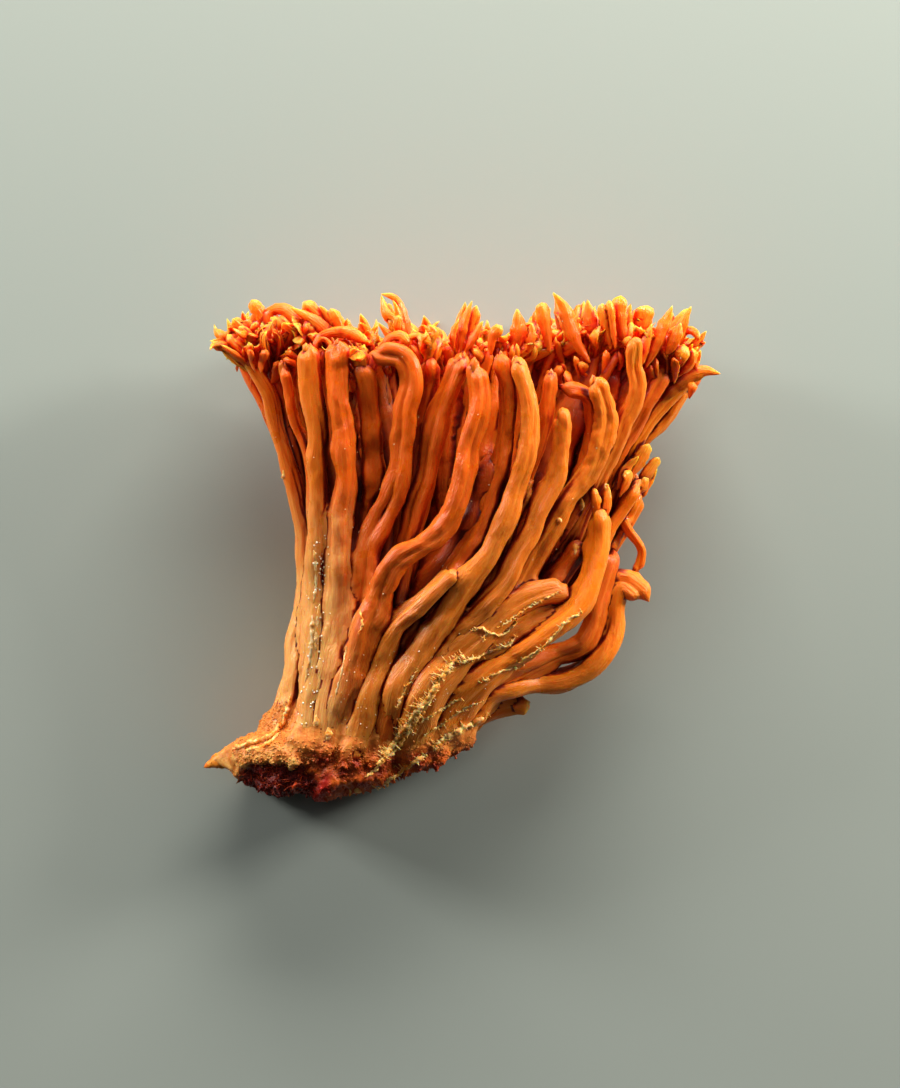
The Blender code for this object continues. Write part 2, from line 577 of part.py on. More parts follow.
def round_off(bm, end, along, radius):
    """A blunt end: one smaller ring and a low point."""
    centre = np.mean([vert.co for vert in end.verts], axis=0)
    end = bmesh.ops.extrude_discrete_faces(bm, faces=[end])["faces"][0]
    for vert in end.verts:
        vert.co = centre + BLUNT_RING * (np.array(vert.co) - centre) + BLUNT_STEP * radius * along
    point = bmesh.ops.poke(bm, faces=[end])["verts"][0]
    point.co = centre + BLUNT_POINT * radius * along


def fork_corners(fork, along, spread):
    """Four corners round a fork. The first and third lie between its two prongs."""
    side = unit(spread - spread.dot(along) * along)
    front_way = np.cross(side, along)
    return [fork + FORK_RADIUS * (math.cos(a) * front_way + math.sin(a) * side)
            for a in (0, math.pi / 2, math.pi, 3 * math.pi / 2)]


def grow_finger(bm, palm, end, fork, prongs):
    """Extrude a third of a stem's end to a fork and draw each half of it out to a point."""
    along = unit(fork - end)
    corners = fork_corners(fork, along, prongs[0] - prongs[1])
    palm = bmesh.ops.extrude_discrete_faces(bm, faces=[palm])["faces"][0]
    verts = list(palm.verts)
    rolls = [corners[k:] + corners[:k] for k in range(4)]
    turned = min(rolls, key=lambda roll: sum(
        np.linalg.norm(np.array(v.co) + (fork - end) - place) for v, place in zip(verts, roll)))
    for vert, place in zip(verts, turned):
        vert.co = place
    between = [vert for vert, place in zip(verts, turned)
               if any(place is corner for corner in (corners[0], corners[2]))]
    halves = list(bmesh.ops.connect_verts(bm, verts=between)["edges"][0].link_faces)
    halves.sort(key=lambda face: -np.dot(face.calc_center_median(), prongs[0] - prongs[1]))
    for half, prong in zip(halves, prongs):
        point = bmesh.ops.poke(bm, faces=[half])["verts"][0]
        point.co = prong


def open_hand(bm, end, bunch, trunk_end, fingers):
    """Part a stem's end into three palms round a hub and grow a forked finger from each."""
    ring_verts = list(end.verts)
    bm.faces.remove(end)
    hub = bm.verts.new(bunch.points[trunk_end])
    for first, finger in zip(FINGER_STARTS, fingers):
        rim = [ring_verts[(first + k) % STEM_SIDES] for k in range(3)]
        palm = bm.faces.new([hub] + rim)
        joint, prongs = finger
        grow_finger(bm, palm, bunch.points[trunk_end], bunch.points[joint],
                    [bunch.points[prong] for prong in prongs])


def stem_solid(bunch, number):
    trunk = bunch.trunks[number]
    line = bunch.points[trunk]
    ways = tangents(line)
    rings = [ring(place, way, bunch.radii[joint] - SKIN) for joint, place, way in zip(trunk, line, ways)]
    if trunk[0] in bunch.bases:
        rings[0] = sit_on_foot(rings[0], ways[0])
    bm, end = loft(rings)
    if bunch.fingers[number]:
        open_hand(bm, end, bunch, trunk[-1], bunch.fingers[number])
    else:
        round_off(bm, end, ways[-1], bunch.radii[trunk[-1]])
    return bm


def foot_solid():
    """Rings across the foot, flat where the stems stand on it and crumbly everywhere else."""
    crumbs = np.random.default_rng(7)
    ends = column(FOOT, 0)
    stations = np.linspace(ends[0], ends[-1], int((ends[-1] - ends[0]) / FOOT_STEP))
    stations = sorted(set(stations[1:-1]) | set(ends))
    stations = [x for x, after in zip(stations, stations[1:] + [math.inf]) if after - x > FOOT_STEP / 3]
    rings = []
    for x in stations:
        low, high, floor, top = (foot_at(x, index) for index in (1, 2, 3, 4))
        middle_y, half_y = (low + high) / 2, (high - low) / 2
        middle_z, half_z = (floor + top) / 2, (top - floor) / 2
        rough = CRUMB_SIZE * min(1.0, half_y / THICK_ENOUGH)
        places = []
        for k in range(FOOT_SIDES):
            angle = 2 * math.pi * k / FOOT_SIDES
            c, s = math.cos(angle), math.sin(angle)
            swell = 1 + (rough * crumbs.uniform(-1, 0.5) / half_y if c < FLAT_SHARE else 0.0)
            y = middle_y + half_y * swell * math.copysign(abs(c) ** SQUARENESS, c)
            z = middle_z + half_z * min(swell, MOST_SWELL) * math.copysign(abs(s) ** SQUARENESS, s)
            places.append(np.array((x, y, max(z, 0.0))))
        rings.append(places)
    bm, _ = loft(rings)
    return bm


def material(name, colour, roughness):
    made = bpy.data.materials.new(name)
    made.use_nodes = True
    shader = made.node_tree.nodes["Principled BSDF"]
    shader.inputs["Base Color"].default_value = (*colour, 1.0)
    shader.inputs["Roughness"].default_value = roughness
    shader.inputs["Metallic"].default_value = 0.0
    made.diffuse_color = (*colour, 1.0)
    return made


def add_piece(name, bm, base, parent, colour, roughness):
    """Turn a solid into a named object that stands at its base, in metres."""
    base = np.array(base)
    for vert in bm.verts:
        place = np.array(vert.co)
        place[2] = max(place[2], 0.0)
        vert.co = (place - base) * MM
    bmesh.ops.triangulate(bm, faces=bm.faces[:])
    bmesh.ops.recalc_face_normals(bm, faces=bm.faces[:])
    mesh = bpy.data.meshes.new(name)
    bm.to_mesh(mesh)
    bm.free()
    mesh.shade_smooth()
    mesh.materials.append(material(name + "_flesh", colour, roughness))
    piece = bpy.data.objects.new(name, mesh)
    piece.location = base * MM
    piece.parent = parent
    bpy.context.scene.collection.objects.link(piece)
    return piece


def main():
    for old in list(bpy.data.objects):
        bpy.data.objects.remove(old, do_unlink=True)
    stems = all_stems()
    bunch = Bunch(stems)
    spread_apart(bunch)
    still_pressing = slim_where_crowded(bunch)
    whole = bpy.data.objects.new("cordyceps_bunch", None)
    bpy.context.scene.collection.objects.link(whole)
    add_piece("foot", foot_solid(), (-22, -36, 0), whole, DARK_CRUST, 0.85)
    for number, stem in enumerate(stems):
        base = bunch.points[bunch.trunks[number][0]]
        add_piece(stem.name, stem_solid(bunch, number), base, whole, stem.colour, 0.45)
    solids = [piece for piece in bpy.data.objects if piece.type == "MESH"]
    triangles = sum(len(piece.data.polygons) for piece in solids)
    print(f"{len(solids)} pieces, {triangles} triangles, {still_pressing:.3f} mm short of the gap")
    print("slimmest stem joint", round(float(min(bunch.radii[line].min() for line in bunch.trunks)), 2), "mm")


main()
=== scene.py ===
# %% [markdown]
# A bunch of cordyceps that was picked and laid on its back. Slender orange stems fan out of one
# crumbly foot and end in a frilly crown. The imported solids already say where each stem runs, so this
# script reads every stem's centre line from its solid and grows soft, wrinkled flesh round it. The
# other way would be to sculpt the bunch by hand, but then nothing would keep it where the solids are.

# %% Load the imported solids
import json
import math

import bmesh
import bpy
import numpy as np
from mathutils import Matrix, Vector
from mathutils.bvhtree import BVHTree
from mathutils.kdtree import KDTree
from mathutils.noise import fractal


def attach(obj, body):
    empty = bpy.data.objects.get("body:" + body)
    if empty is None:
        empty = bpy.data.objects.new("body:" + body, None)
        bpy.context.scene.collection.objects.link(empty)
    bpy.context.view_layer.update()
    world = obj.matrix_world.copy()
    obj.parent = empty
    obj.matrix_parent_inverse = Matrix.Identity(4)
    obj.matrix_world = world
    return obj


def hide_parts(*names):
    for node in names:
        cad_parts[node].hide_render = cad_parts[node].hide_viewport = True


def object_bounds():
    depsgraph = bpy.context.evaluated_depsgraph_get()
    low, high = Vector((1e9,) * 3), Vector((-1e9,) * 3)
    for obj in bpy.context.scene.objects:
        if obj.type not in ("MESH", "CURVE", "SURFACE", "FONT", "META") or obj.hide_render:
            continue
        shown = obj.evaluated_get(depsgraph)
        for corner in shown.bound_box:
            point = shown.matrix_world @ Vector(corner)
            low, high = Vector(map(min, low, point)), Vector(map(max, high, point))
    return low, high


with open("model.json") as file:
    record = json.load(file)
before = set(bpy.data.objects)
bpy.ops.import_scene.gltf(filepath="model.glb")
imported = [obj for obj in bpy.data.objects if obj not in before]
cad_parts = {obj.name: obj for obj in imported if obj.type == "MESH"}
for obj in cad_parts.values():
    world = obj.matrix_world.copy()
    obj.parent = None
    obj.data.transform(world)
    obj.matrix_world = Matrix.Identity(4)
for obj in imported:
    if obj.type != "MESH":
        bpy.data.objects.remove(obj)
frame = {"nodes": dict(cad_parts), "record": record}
CAD_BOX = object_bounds()
MM = 0.001
LOW, HIGH = (np.array(corner) / MM for corner in CAD_BOX)
print("the solids' box in mm:", LOW.round(1), HIGH.round(1))

# %% [markdown]
# Each stem's solid is a chain of six-sided rings. A walk over the mesh finds them again: the
# neighbours of one ring are the next ring. The base is the flat end from which the walk gets
# furthest. Where a stem parts into fingers, what is left falls into three groups, and in each the two
# points with only three edges are the fingertips. Measuring is safer than copying numbers by hand.


# %% Walk along a stem's rings
FLAT_ANGLES = (20, 45)
RING = 6


def neighbours(verts):
    return {edge.other_vert(vert) for vert in verts for edge in vert.link_edges}


def flat_patch(face, limit):
    """All faces that lie in nearly one plane with a face and are joined to it."""
    patch, waiting = {face}, [face]
    while waiting:
        for edge in waiting.pop().edges:
            for other in edge.link_faces:
                if other not in patch and other.normal.angle(face.normal) < limit:
                    patch.add(other)
                    waiting.append(other)
    return patch


def walk(first):
    """The rings from a first ring onwards, and the vertices that come after the last of them."""
    rings, ring, seen = [], set(first), set(first)
    while len(ring) == RING:
        rings.append(ring)
        ring = neighbours(ring) - seen
        seen |= ring
    return rings, ring


def longest_walk(bm):
    ends = []
    for degrees in FLAT_ANGLES:
        for face in bm.faces:
            patch = flat_patch(face, math.radians(degrees))
            corners = {vert for part in patch for vert in part.verts}
            if len(patch) == RING - 2 and len(corners) == RING and corners not in ends:
                ends.append(corners)
    return max((walk(corners) for corners in ends), key=lambda found: len(found[0]))


# %% Read every stem's line, thickness and fingertips
def groups(verts):
    """Split vertices into groups that are joined by edges."""
    left, found = set(verts), []
    while left:
        group, waiting = set(), [left.pop()]
        while waiting:
            vert = waiting.pop()
            group.add(vert)
            near = neighbours([vert]) & left
            left -= near
            waiting += near
        found.append(group)
    return found


def place(vert):
    return np.array(vert.co) / MM


def read_stem(node):
    bm = bmesh.new()
    bm.from_mesh(frame["nodes"][node].data)
    bmesh.ops.remove_doubles(bm, verts=bm.verts[:], dist=1e-6)
    bm.normal_update()
    rings, beyond = longest_walk(bm)
    places = np.array([[place(vert) for vert in ring] for ring in rings])
    line = places.mean(1)
    radii = np.linalg.norm(places - line[:, None], axis=2).mean(1)
    fingers = []
    if len(beyond) > 1:
        hub = min(beyond, key=lambda vert: np.linalg.norm(place(vert) - line[-1]))
        rest = set(bm.verts) - {vert for ring in rings for vert in ring} - {hub}
        for group in groups(rest):
            tips = sorted((vert for vert in group if len(vert.link_edges) == 3), key=lambda vert: vert.co.x)
            fork = np.mean([place(vert) for vert in group if vert not in tips], axis=0)
            fingers.append((fork, [place(vert) for vert in tips]))
        fingers.sort(key=lambda finger: finger[0][0])
    else:
        line = np.vstack([line, place(beyond.pop())])
        radii = np.append(radii, radii[-1])
    bm.free()
    return {"line": line, "radii": radii, "fingers": fingers}


STEMS = {node: read_stem(node) for node in sorted(frame["nodes"]) if node != "foot"}
print(len(STEMS), "stems,", sum(len(stem["fingers"]) for stem in STEMS.values()), "fingers")

# %% [markdown]
# Flesh is never even. A sum of a few sine waves with random lengths gives a soft random line, which
# drives how a stem swells and where its folds run. Every random draw has a fixed seed, so the bunch
# grows the same way each time.


# %% Soft random waves and smooth lines
def waves(draw, shortest, longest, count=5):
    """A soft random function of a length in mm, between about -1 and 1."""
    lengths = np.exp(draw.uniform(math.log(shortest), math.log(longest), count))
    phases = draw.uniform(0, 2 * math.pi, count)
    weights = np.sqrt(lengths) / np.sqrt(lengths).sum()

    def value(along):
        along = np.asarray(along, float)
        return sum(w * np.sin(2 * math.pi * along / l + p) for w, l, p in zip(weights, lengths, phases))
    return value


def smooth_line(points, step):
    """Points at an even step on a smooth curve through a few points."""
    points = np.array(points, float)
    ends = [2 * points[0] - points[1], *points, 2 * points[-1] - points[-2]]
    fine = []
    for a, b, c, d in zip(ends, ends[1:], ends[2:], ends[3:]):
        for t in np.linspace(0, 1, 10, endpoint=False):
            fine.append(0.5 * (2 * b + (c - a) * t + (2 * a - 5 * b + 4 * c - d) * t ** 2
                               + (3 * b - a - 3 * c + d) * t ** 3))
    fine = np.array(fine + [points[-1]])
    along = np.concatenate([[0], np.cumsum(np.linalg.norm(np.diff(fine[:, :3], axis=0), axis=1))])
    steps = np.linspace(0, along[-1], max(4, int(along[-1] / step) + 1))
    return steps, np.column_stack([np.interp(steps, along, column) for column in fine.T])


def unit(vectors):
    return vectors / np.maximum(np.linalg.norm(vectors, axis=-1, keepdims=True), 1e-9)


# %% [markdown]
# A tube is swept along a line: at every step one ring of points, turned so that it doesn't twist. Its
# points remember the grain, which is their place in a straightened stem. Fibres that are drawn on the
# grain then follow every bend, with no seam, which a flat texture wrapped round the stem would have.


# %% A piece of flesh, swept as rings
def frames_along(line, up):
    """For each point of a line, a direction to its side and one upwards, which turn as little as can be."""
    ways = unit(np.gradient(line, axis=0))
    side = np.cross(np.array(up, float), ways[0])
    lefts = []
    for way in ways:
        side = unit(side - side.dot(way) * way)
        lefts.append(side)
    return np.array(lefts), np.cross(ways, lefts)


class Flesh:
    """One piece: its points, faces, and what each point knows of the grain and of its tip."""

    def __init__(self):
        self.points, self.faces, self.grain, self.tip = [], [], [], []
        self.count = 0

    def sweep(self, line, along, radii, tip, up=(0, 0, 1), flat=1.0):
        """radii has a row for each ring and a column for each side. flat squeezes towards up."""
        sides = radii.shape[1]
        lefts, ups = frames_along(line, up)
        lefts, ups = lefts[:, None], ups[:, None]
        angles = 2 * math.pi * np.arange(sides) / sides
        wide, tall = radii * np.cos(angles), radii * np.sin(angles) * flat
        skin = line[:, None] + wide[..., None] * lefts + tall[..., None] * ups
        grain = np.stack([wide, tall, np.broadcast_to(along[:, None], wide.shape)], -1)
        self.grain += [grain.reshape(-1, 3), [[0, 0, along[0]]], [[0, 0, along[-1]]]]
        self.tip += [np.repeat(tip, sides), tip[:1], tip[-1:]]
        self.rings(skin, line[:1], line[-1:])

    def rings(self, skin, first=None, last=None):
        """Join rings of points to a closed tube. Each end is closed on one point in its middle."""
        count, sides = skin.shape[:2]
        first = skin[0].mean(0, keepdims=True) if first is None else first
        last = skin[-1].mean(0, keepdims=True) if last is None else last
        self.points += [skin.reshape(-1, 3), first, last]
        ring = self.count + np.arange(count * sides).reshape(count, sides)
        turned = np.roll(ring, -1, axis=1)
        quads = np.stack([ring[:-1], turned[:-1], turned[1:], ring[1:]], -1).reshape(-1, 4)
        start, stop = self.count + count * sides, self.count + count * sides + 1
        self.faces += quads.tolist()
        self.faces += [[start, b, a] for a, b in zip(ring[0], turned[0])]
        self.faces += [[stop, a, b] for a, b in zip(ring[-1], turned[-1])]
        self.count = stop + 1


# %% [markdown]
# A stem is not one round rod but two or three strands that grew together, so its outline at any place
# is the union of a few circles, with a crease where two of them meet. Each strand ends at its own
# height, which gives the blunt end its lobes. Stems that touch have grown into one another, so every
# stem also bulges towards its neighbours until the two skins meet in one soft valley. That blend is
# wide at the foot and narrow near the crown. A Boolean union would leave hard creases there instead.


# %% The line and thickness of every stem
SIDES, HIDDEN_SIDES = 36, 22
STEP, HIDDEN_STEP = 0.55, 0.8
ROOT = 1.8
DIVE = 0.45
FOOT_MIDDLE = (-37.0, 10.0)
HIDDEN = ("stem_crown", "stem_back", "stem_hidden_right", "stem_dark")


def shape_of(node, stem, seed):
    draw = np.random.default_rng(seed)
    hidden = node.startswith(HIDDEN)
    line, radii = stem["line"], stem["radii"]
    back = unit(line[0] - line[1])
    if node in ("side_drop", "side_shoot"):
        deep = line[0] + back * 1.6
        roots = [deep + back * 1.4, deep]
    else:
        deep = line[0] + back * ROOT
        roots = [(1 - DIVE) * deep + DIVE * np.array([deep[0] - 1.0, FOOT_MIDDLE[0], FOOT_MIDDLE[1]]), deep]
    whole = np.column_stack([np.vstack([roots, line]), np.concatenate([radii[:1] * 0.7, radii[:1], radii])])
    along, fine = smooth_line(whole, HIDDEN_STEP if hidden else STEP)
    centre, radius = fine[:, :3], fine[:, 3]
    swell = np.interp(centre[:, 1], (-32, -20, 0, 22, 32), (1.6, 1.55, 1.6, 1.75, 1.3) if hidden else (1.38, 1.3, 1.14, 1.08, 1.08))
    lumps = 1 + 0.10 * waves(draw, 6, 15)(along) + 0.07 * waves(draw, 15, 40)(along)
    left = along[-1] - along
    size = radius * swell * lumps * (1 + 0.10 * np.exp(-((left - 2.0) / 1.6) ** 2))
    centre = centre + 0.3 * np.column_stack([waves(draw, 7, 22)(along) for _ in range(3)])
    centre[:, 2] = np.clip(centre[:, 2], size, np.maximum(HIGH[2] - 1.05 * size, size))
    return {"along": along, "centre": centre, "size": size, "draw": draw, "hidden": hidden}


SHAPES = {node: shape_of(node, stem, 100 + k) for k, (node, stem) in enumerate(STEMS.items())}


# %% How far flesh bulges towards its neighbours
def foot_core():
    """Balls that fill the foot, as rows of a place and a radius."""
    spots = np.array([vert.co for vert in frame["nodes"]["foot"].data.vertices]) / MM
    balls = []
    for x in np.arange(-39, 2, 1.5):
        near = spots[abs(spots[:, 0] - x) < 1.3]
        (low_y, low_z), (high_y, high_z) = near[:, 1:].min(0), near[:, 1:].max(0)
        size = (high_y - low_y) / 2
        for z in np.arange(low_z + size, high_z - size + 0.1, 2.0):
            balls.append((x, (low_y + high_y) / 2, z, size))
    return np.array(balls)


CORES = {node: np.column_stack([shape["centre"], shape["size"]])[::2] for node, shape in SHAPES.items()}
CORES["foot"] = foot_core()
MOST_CROWDED = 0.78


def bulge(node, skin, out, width):
    """How far each point of a piece's skin moves outwards to meet the flesh of other pieces."""
    low, high = skin.min(0) - 4, skin.max(0) + 4
    near = [core for name, core in CORES.items()
            if name != node and ((core[:, :3].max(0) > low) & (core[:, :3].min(0) < high)).all()]
    balls = np.vstack(near)
    first = np.cumsum([0] + [len(core) for core in near[:-1]])
    push = np.zeros(len(skin))
    for _ in range(3):
        spot = skin + push[:, None] * out
        square = (spot ** 2).sum(1)[:, None] + (balls[:, :3] ** 2).sum(1)[None] - 2 * spot @ balls[:, :3].T
        apart = np.minimum.reduceat(np.sqrt(np.maximum(square, 0)) - balls[:, 3], first, axis=1)
        crowd = np.exp(-np.maximum(apart, 0) / width[:, None]).sum(1)
        push = 0.5 * push - 0.5 * width * np.log(1 - np.minimum(crowd, MOST_CROWDED))
    return push


def fill_between(coarse, rings):
    """A coarse table of rings and sides, made twice as fine both ways."""
    sides = np.stack([coarse, (coarse + np.roll(coarse, -1, axis=1)) / 2], -1).reshape(len(coarse), -1)
    places = np.arange(rings) / 2
    low = np.minimum(places.astype(int), len(sides) - 1)
    high = np.minimum(low + 1, len(sides) - 1)
    share = (places - low)[:, None]
    return sides[low] * (1 - share) + sides[high] * share


# %% Grow a stem round its line
def dome(left, size):
    """How far a blunt end has closed: 1 along the stem and 0 at its tip."""
    return np.sqrt(np.clip(1 - (1 - np.clip(left / size, 0, 1)) ** 2.3, 0.0002, 1))


def strands(draw, along, angles, left, size, count, apart, uneven):
    """Outline of strands grown together, as a share of the stem's radius, for each ring and angle."""
    outline = np.zeros((len(along), len(angles)))
    first = draw.uniform(0, 2 * math.pi)
    for k in range(count):
        middle = first + 2 * math.pi * k / count + 0.8 * waves(draw, 18, 60)(along) + draw.normal(0, 0.25)
        off = np.clip(apart * (1 + 0.5 * waves(draw, 10, 30)(along)), 0.05, 0.62)
        thick = (0.80 - 0.25 * off) * (1 + 0.10 * waves(draw, 8, 24)(along))
        turn = angles[None] - middle[:, None]
        reach = np.sqrt(np.maximum(thick[:, None] ** 2 - (off[:, None] * np.sin(turn)) ** 2, 0.02))
        edge = off[:, None] * np.cos(turn) + reach
        early = 0.0 if k == 0 else draw.uniform(0.3, 1.0) * uneven
        edge *= dome(np.maximum(left - early, 0), 1.15 * size)[:, None]
        outline = np.maximum(outline, edge)
    return outline


def rod_radii(draw, along, size, count, apart, uneven, sides):
    angles = 2 * math.pi * np.arange(sides) / sides
    outline = strands(draw, along, angles, along[-1] - along, size.mean(), count, apart, uneven)
    knobs = 1 + 0.045 * np.cos(3 * angles[None] + (4.0 * waves(draw, 5, 14)(along))[:, None])
    ripple = 1 + 0.022 * np.cos(9 * angles[None] + (6.0 * waves(draw, 10, 40)(along))[:, None])
    return size[:, None] * outline * knobs * ripple


def grow_stem(node):
    shape = SHAPES[node]
    along, centre, size, draw, hidden = (shape[key] for key in ("along", "centre", "size", "draw", "hidden"))
    radii = rod_radii(draw, along, size, int(draw.integers(2, 4)), draw.uniform(0.30, 0.52), 1.7,
                      HIDDEN_SIDES if hidden else SIDES)
    lefts, ups = frames_along(centre, (0, 0, 1))
    coarse = radii[::2, ::2]
    angles = 2 * math.pi * np.arange(coarse.shape[1]) / coarse.shape[1]
    out = np.cos(angles)[None, :, None] * lefts[::2, None] + np.sin(angles)[None, :, None] * ups[::2, None]
    skin = centre[::2, None] + coarse[..., None] * out
    blend = (1.6, 1.5, 1.5, 1.5, 1.0) if hidden else (1.4, 1.3, 0.8, 0.36, 0.18)
    width = np.interp(skin[..., 1].ravel(), (-29, -20, -6, 12, 26), blend)
    push = bulge(node, skin.reshape(-1, 3), out.reshape(-1, 3), width).reshape(coarse.shape)
    push *= np.clip(coarse / size[::2, None], 0, 1) ** 2
    flesh = Flesh()
    flesh.sweep(centre, along, radii + fill_between(push, len(radii)), along / along[-1])
    return flesh


# %% [markdown]
# The crown is a mat of small fingers: flat ribbons on the left, a crumpled mat in the middle and
# pointed petals on the right. A petal is a squeezed tube with creases, drawn out to a point or a soft
# lobe. Hundreds of them fill the crown at random. The ones that give it its outline, such as the
# horns, the curl and the spray, follow lines that were drawn over the photo.


# %% One petal
PETAL_SIDES = 8
PETAL_STEP = 0.53
POINTED = ((0, 0.2, 0.45, 0.7, 0.88, 0.96, 1), (0.15, 0.6, 1.0, 0.8, 0.42, 0.2, 0.03))
BLUNT = ((0, 0.25, 0.65, 0.85, 0.95, 1), (0.15, 0.6, 1.0, 1.0, 0.7, 0.05))


def add_petal(flesh, draw, points, width, thick, pointed=True, up=None, step=PETAL_STEP, tips=(1, 2)):
    along, line = smooth_line(points, step)
    share = along / along[-1]
    size = 0.5 * width * np.interp(share, *(POINTED if pointed else BLUNT)) * (1 + 0.12 * waves(draw, 1.5, 5)(along))
    angles = 2 * math.pi * np.arange(PETAL_SIDES) / PETAL_SIDES
    crease = 0.21 * np.cos(4 * angles[None] + draw.uniform(0, 6) + (1.5 * waves(draw, 4, 12)(along))[:, None])
    ruffle = 0.16 * np.cos(3 * angles[None] + (2.5 * waves(draw, 1.2, 3.5)(along))[:, None])
    if up is None:
        up = unit(draw.normal(0, 0.8, 3) + np.array([0, 0, 1.0]))
    flesh.sweep(line, along, size[:, None] * (1 + crease + ruffle), np.interp(share, (0, 1), tips), up=up, flat=thick / width)


# %% Petals at random
CROWN_EDGE = np.array((
    (-40, 34.6), (-38, 36), (-36, 37.5), (-31, 39), (-27, 39.4), (-23, 39.2), (-19, 37.4), (-17, 35.4), (-14, 34.6),
    (-11, 35.2), (-8.5, 36.2), (-6, 35), (-4, 34.4), (-1, 35.4), (2, 36.2), (4.5, 35), (8, 35.4), (11, 36), (14, 36.6),
    (17, 37.4), (21, 38.6), (26, 39), (30, 38.6), (34, 37.6), (38, 35.6), (41, 32), (43, 29.5)))
PETALS = 600
MAT_LOBES = 240
CROWN_MIDDLE = np.array((1.0, 16.6))
CROWN_HALF = np.array((41.0, 10.5))
HUBS = {node: stem["line"][-1] for node, stem in STEMS.items()
        if stem["fingers"] and not node.startswith(("stem_tier", "stem_forked", "stem_right_horn"))}


def petal_to(draw, hub, way, tip):
    """Points, width, thickness and form of one petal from the end of a stem to a tip."""
    reach = tip - hub
    long = np.linalg.norm(reach)
    if tip[0] < -17:
        wide, thick, pointed = draw.uniform(1.2, 2.6), 0.30, draw.random() < 0.5
    elif tip[0] < 12:
        wide, thick, pointed = draw.uniform(1.0, 1.9), 0.6, draw.random() < 0.5
    else:
        wide, thick, pointed = draw.uniform(1.3, 2.7), 0.34, draw.random() < 0.85
    bend = draw.normal(0, 0.09 * long, 3)
    curl = draw.normal(0, 0.06 * long, 3)
    side = reach - reach.dot(way) * way
    points = [hub - 4.0 * way + 0.15 * side, hub - 0.6 * way + 0.55 * side + 0.5 * bend,
              hub + 0.55 * (reach - side) + 0.95 * side + bend, tip + curl]
    return np.clip(points, LOW + 0.7, HIGH - 0.7), wide, wide * thick * draw.uniform(0.8, 1.25), pointed


def grow_petals():
    draw = np.random.default_rng(77)
    names, hubs = list(HUBS), np.array(list(HUBS.values()))
    grown_petals = 0
    while grown_petals < PETALS:
        across, deep = draw.uniform(-1, 1), draw.uniform(-1, 1)
        x = CROWN_MIDDLE[0] + CROWN_HALF[0] * across
        z = CROWN_MIDDLE[1] + CROWN_HALF[1] * deep * math.sqrt(1 - 0.75 * across ** 2)
        edge = np.interp(x, CROWN_EDGE[:, 0], CROWN_EDGE[:, 1])
        drop = np.interp(z, (2, 9, 20, 25, 30), (3.0, 0.6, 0.2, 2.0, 4.0))
        tip = np.array([x, edge - drop - min(draw.exponential(1.6), 5.0), z])
        apart = tip - hubs
        far = np.linalg.norm(apart * np.array([1.0, 0.6, 1.0]), axis=1) + 20.0 * (apart[:, 1] < 1.2)
        owner = int(np.argmin(far + draw.uniform(0, 2.5, len(far))))
        if far[owner] > 9:
            continue
        stem = STEMS[names[owner]]
        way = unit(stem["line"][-1] - stem["line"][-2])
        points, wide, thick, pointed = petal_to(draw, hubs[owner], way, tip)
        add_petal(PIECES[names[owner]], draw, points, wide, thick, pointed)
        grown_petals += 1
    for _ in range(MAT_LOBES):
        x = draw.uniform(-37, 39)
        drop = draw.uniform(0.6, 4.6) if -14 < x < 14 else draw.uniform(2, 8)
        tip = np.array([x, np.interp(x, CROWN_EDGE[:, 0], CROWN_EDGE[:, 1]) - drop, draw.uniform(17.5, 24.5)])
        owner = int(np.argmin(np.linalg.norm(tip - hubs, axis=1)))
        start = tip + draw.normal(0, 0.9, 3) - (0, 3.6, 3.0)
        points = [start, 0.5 * (start + tip) + draw.normal(0, 0.6, 3), tip]
        wide = draw.uniform(1.0, 2.0)
        add_petal(PIECES[names[owner]], draw, np.clip(points, LOW + 0.7, HIGH - 0.7), wide, 0.6 * wide, False,
                  tips=(1.0, draw.uniform(1.3, 1.8)))


BRANCH_SIDES = 11


def grow_branches(flesh, stem, draw, count):
    """Thin branches that leave a stem some way down and end in the crown beside it."""
    along, line = smooth_line(stem["line"], 1.0)
    for _ in range(count):
        leave = line[int(len(line) * draw.uniform(0.45, 0.72))]
        end = line[-1] + np.array([draw.uniform(-4.2, 4.2), draw.uniform(-2.0, 1.6), draw.uniform(-3.0, 3.0)])
        end = np.clip(end, LOW + 1.5, HIGH - 1.5)
        middle = 0.5 * (leave + end) + draw.normal(0, 0.7, 3)
        steps, way = smooth_line([leave, 0.75 * leave + 0.25 * middle + draw.normal(0, 0.3, 3), middle, end], 0.9)
        size = draw.uniform(0.9, 1.4) * (1 + 0.12 * waves(draw, 4, 12)(steps))
        flesh.sweep(way, steps, rod_radii(draw, steps, size, 2, 0.3, 0.8, BRANCH_SIDES), steps / steps[-1])


def grow_fingers(flesh, stem, draw):
    """Two petals for every forked finger of the solid, which reach its tips."""
    end, radius = stem["line"][-1], stem["radii"][-1]
    way = unit(stem["line"][-1] - stem["line"][-2])
    for fork, tips in stem["fingers"]:
        out = unit(fork - end)
        wide = 2.1 * radius * draw.uniform(0.8, 1.0)
        bend = draw.normal(0, 0.5, 3)
        start = end - 3.4 * way + 0.35 * radius * out
        add_petal(flesh, draw, [start, end - 0.4 * way + 0.55 * radius * out, fork, (fork + tips[0]) / 2 + bend,
                                tips[0]], wide, 0.6 * wide)
        start = end - 1.5 * way + 0.2 * radius * out
        add_petal(flesh, draw, [start, end + 0.6 * (fork - end), fork, (fork + tips[1]) / 2 - bend, tips[1]],
                  0.85 * wide, 0.5 * wide)


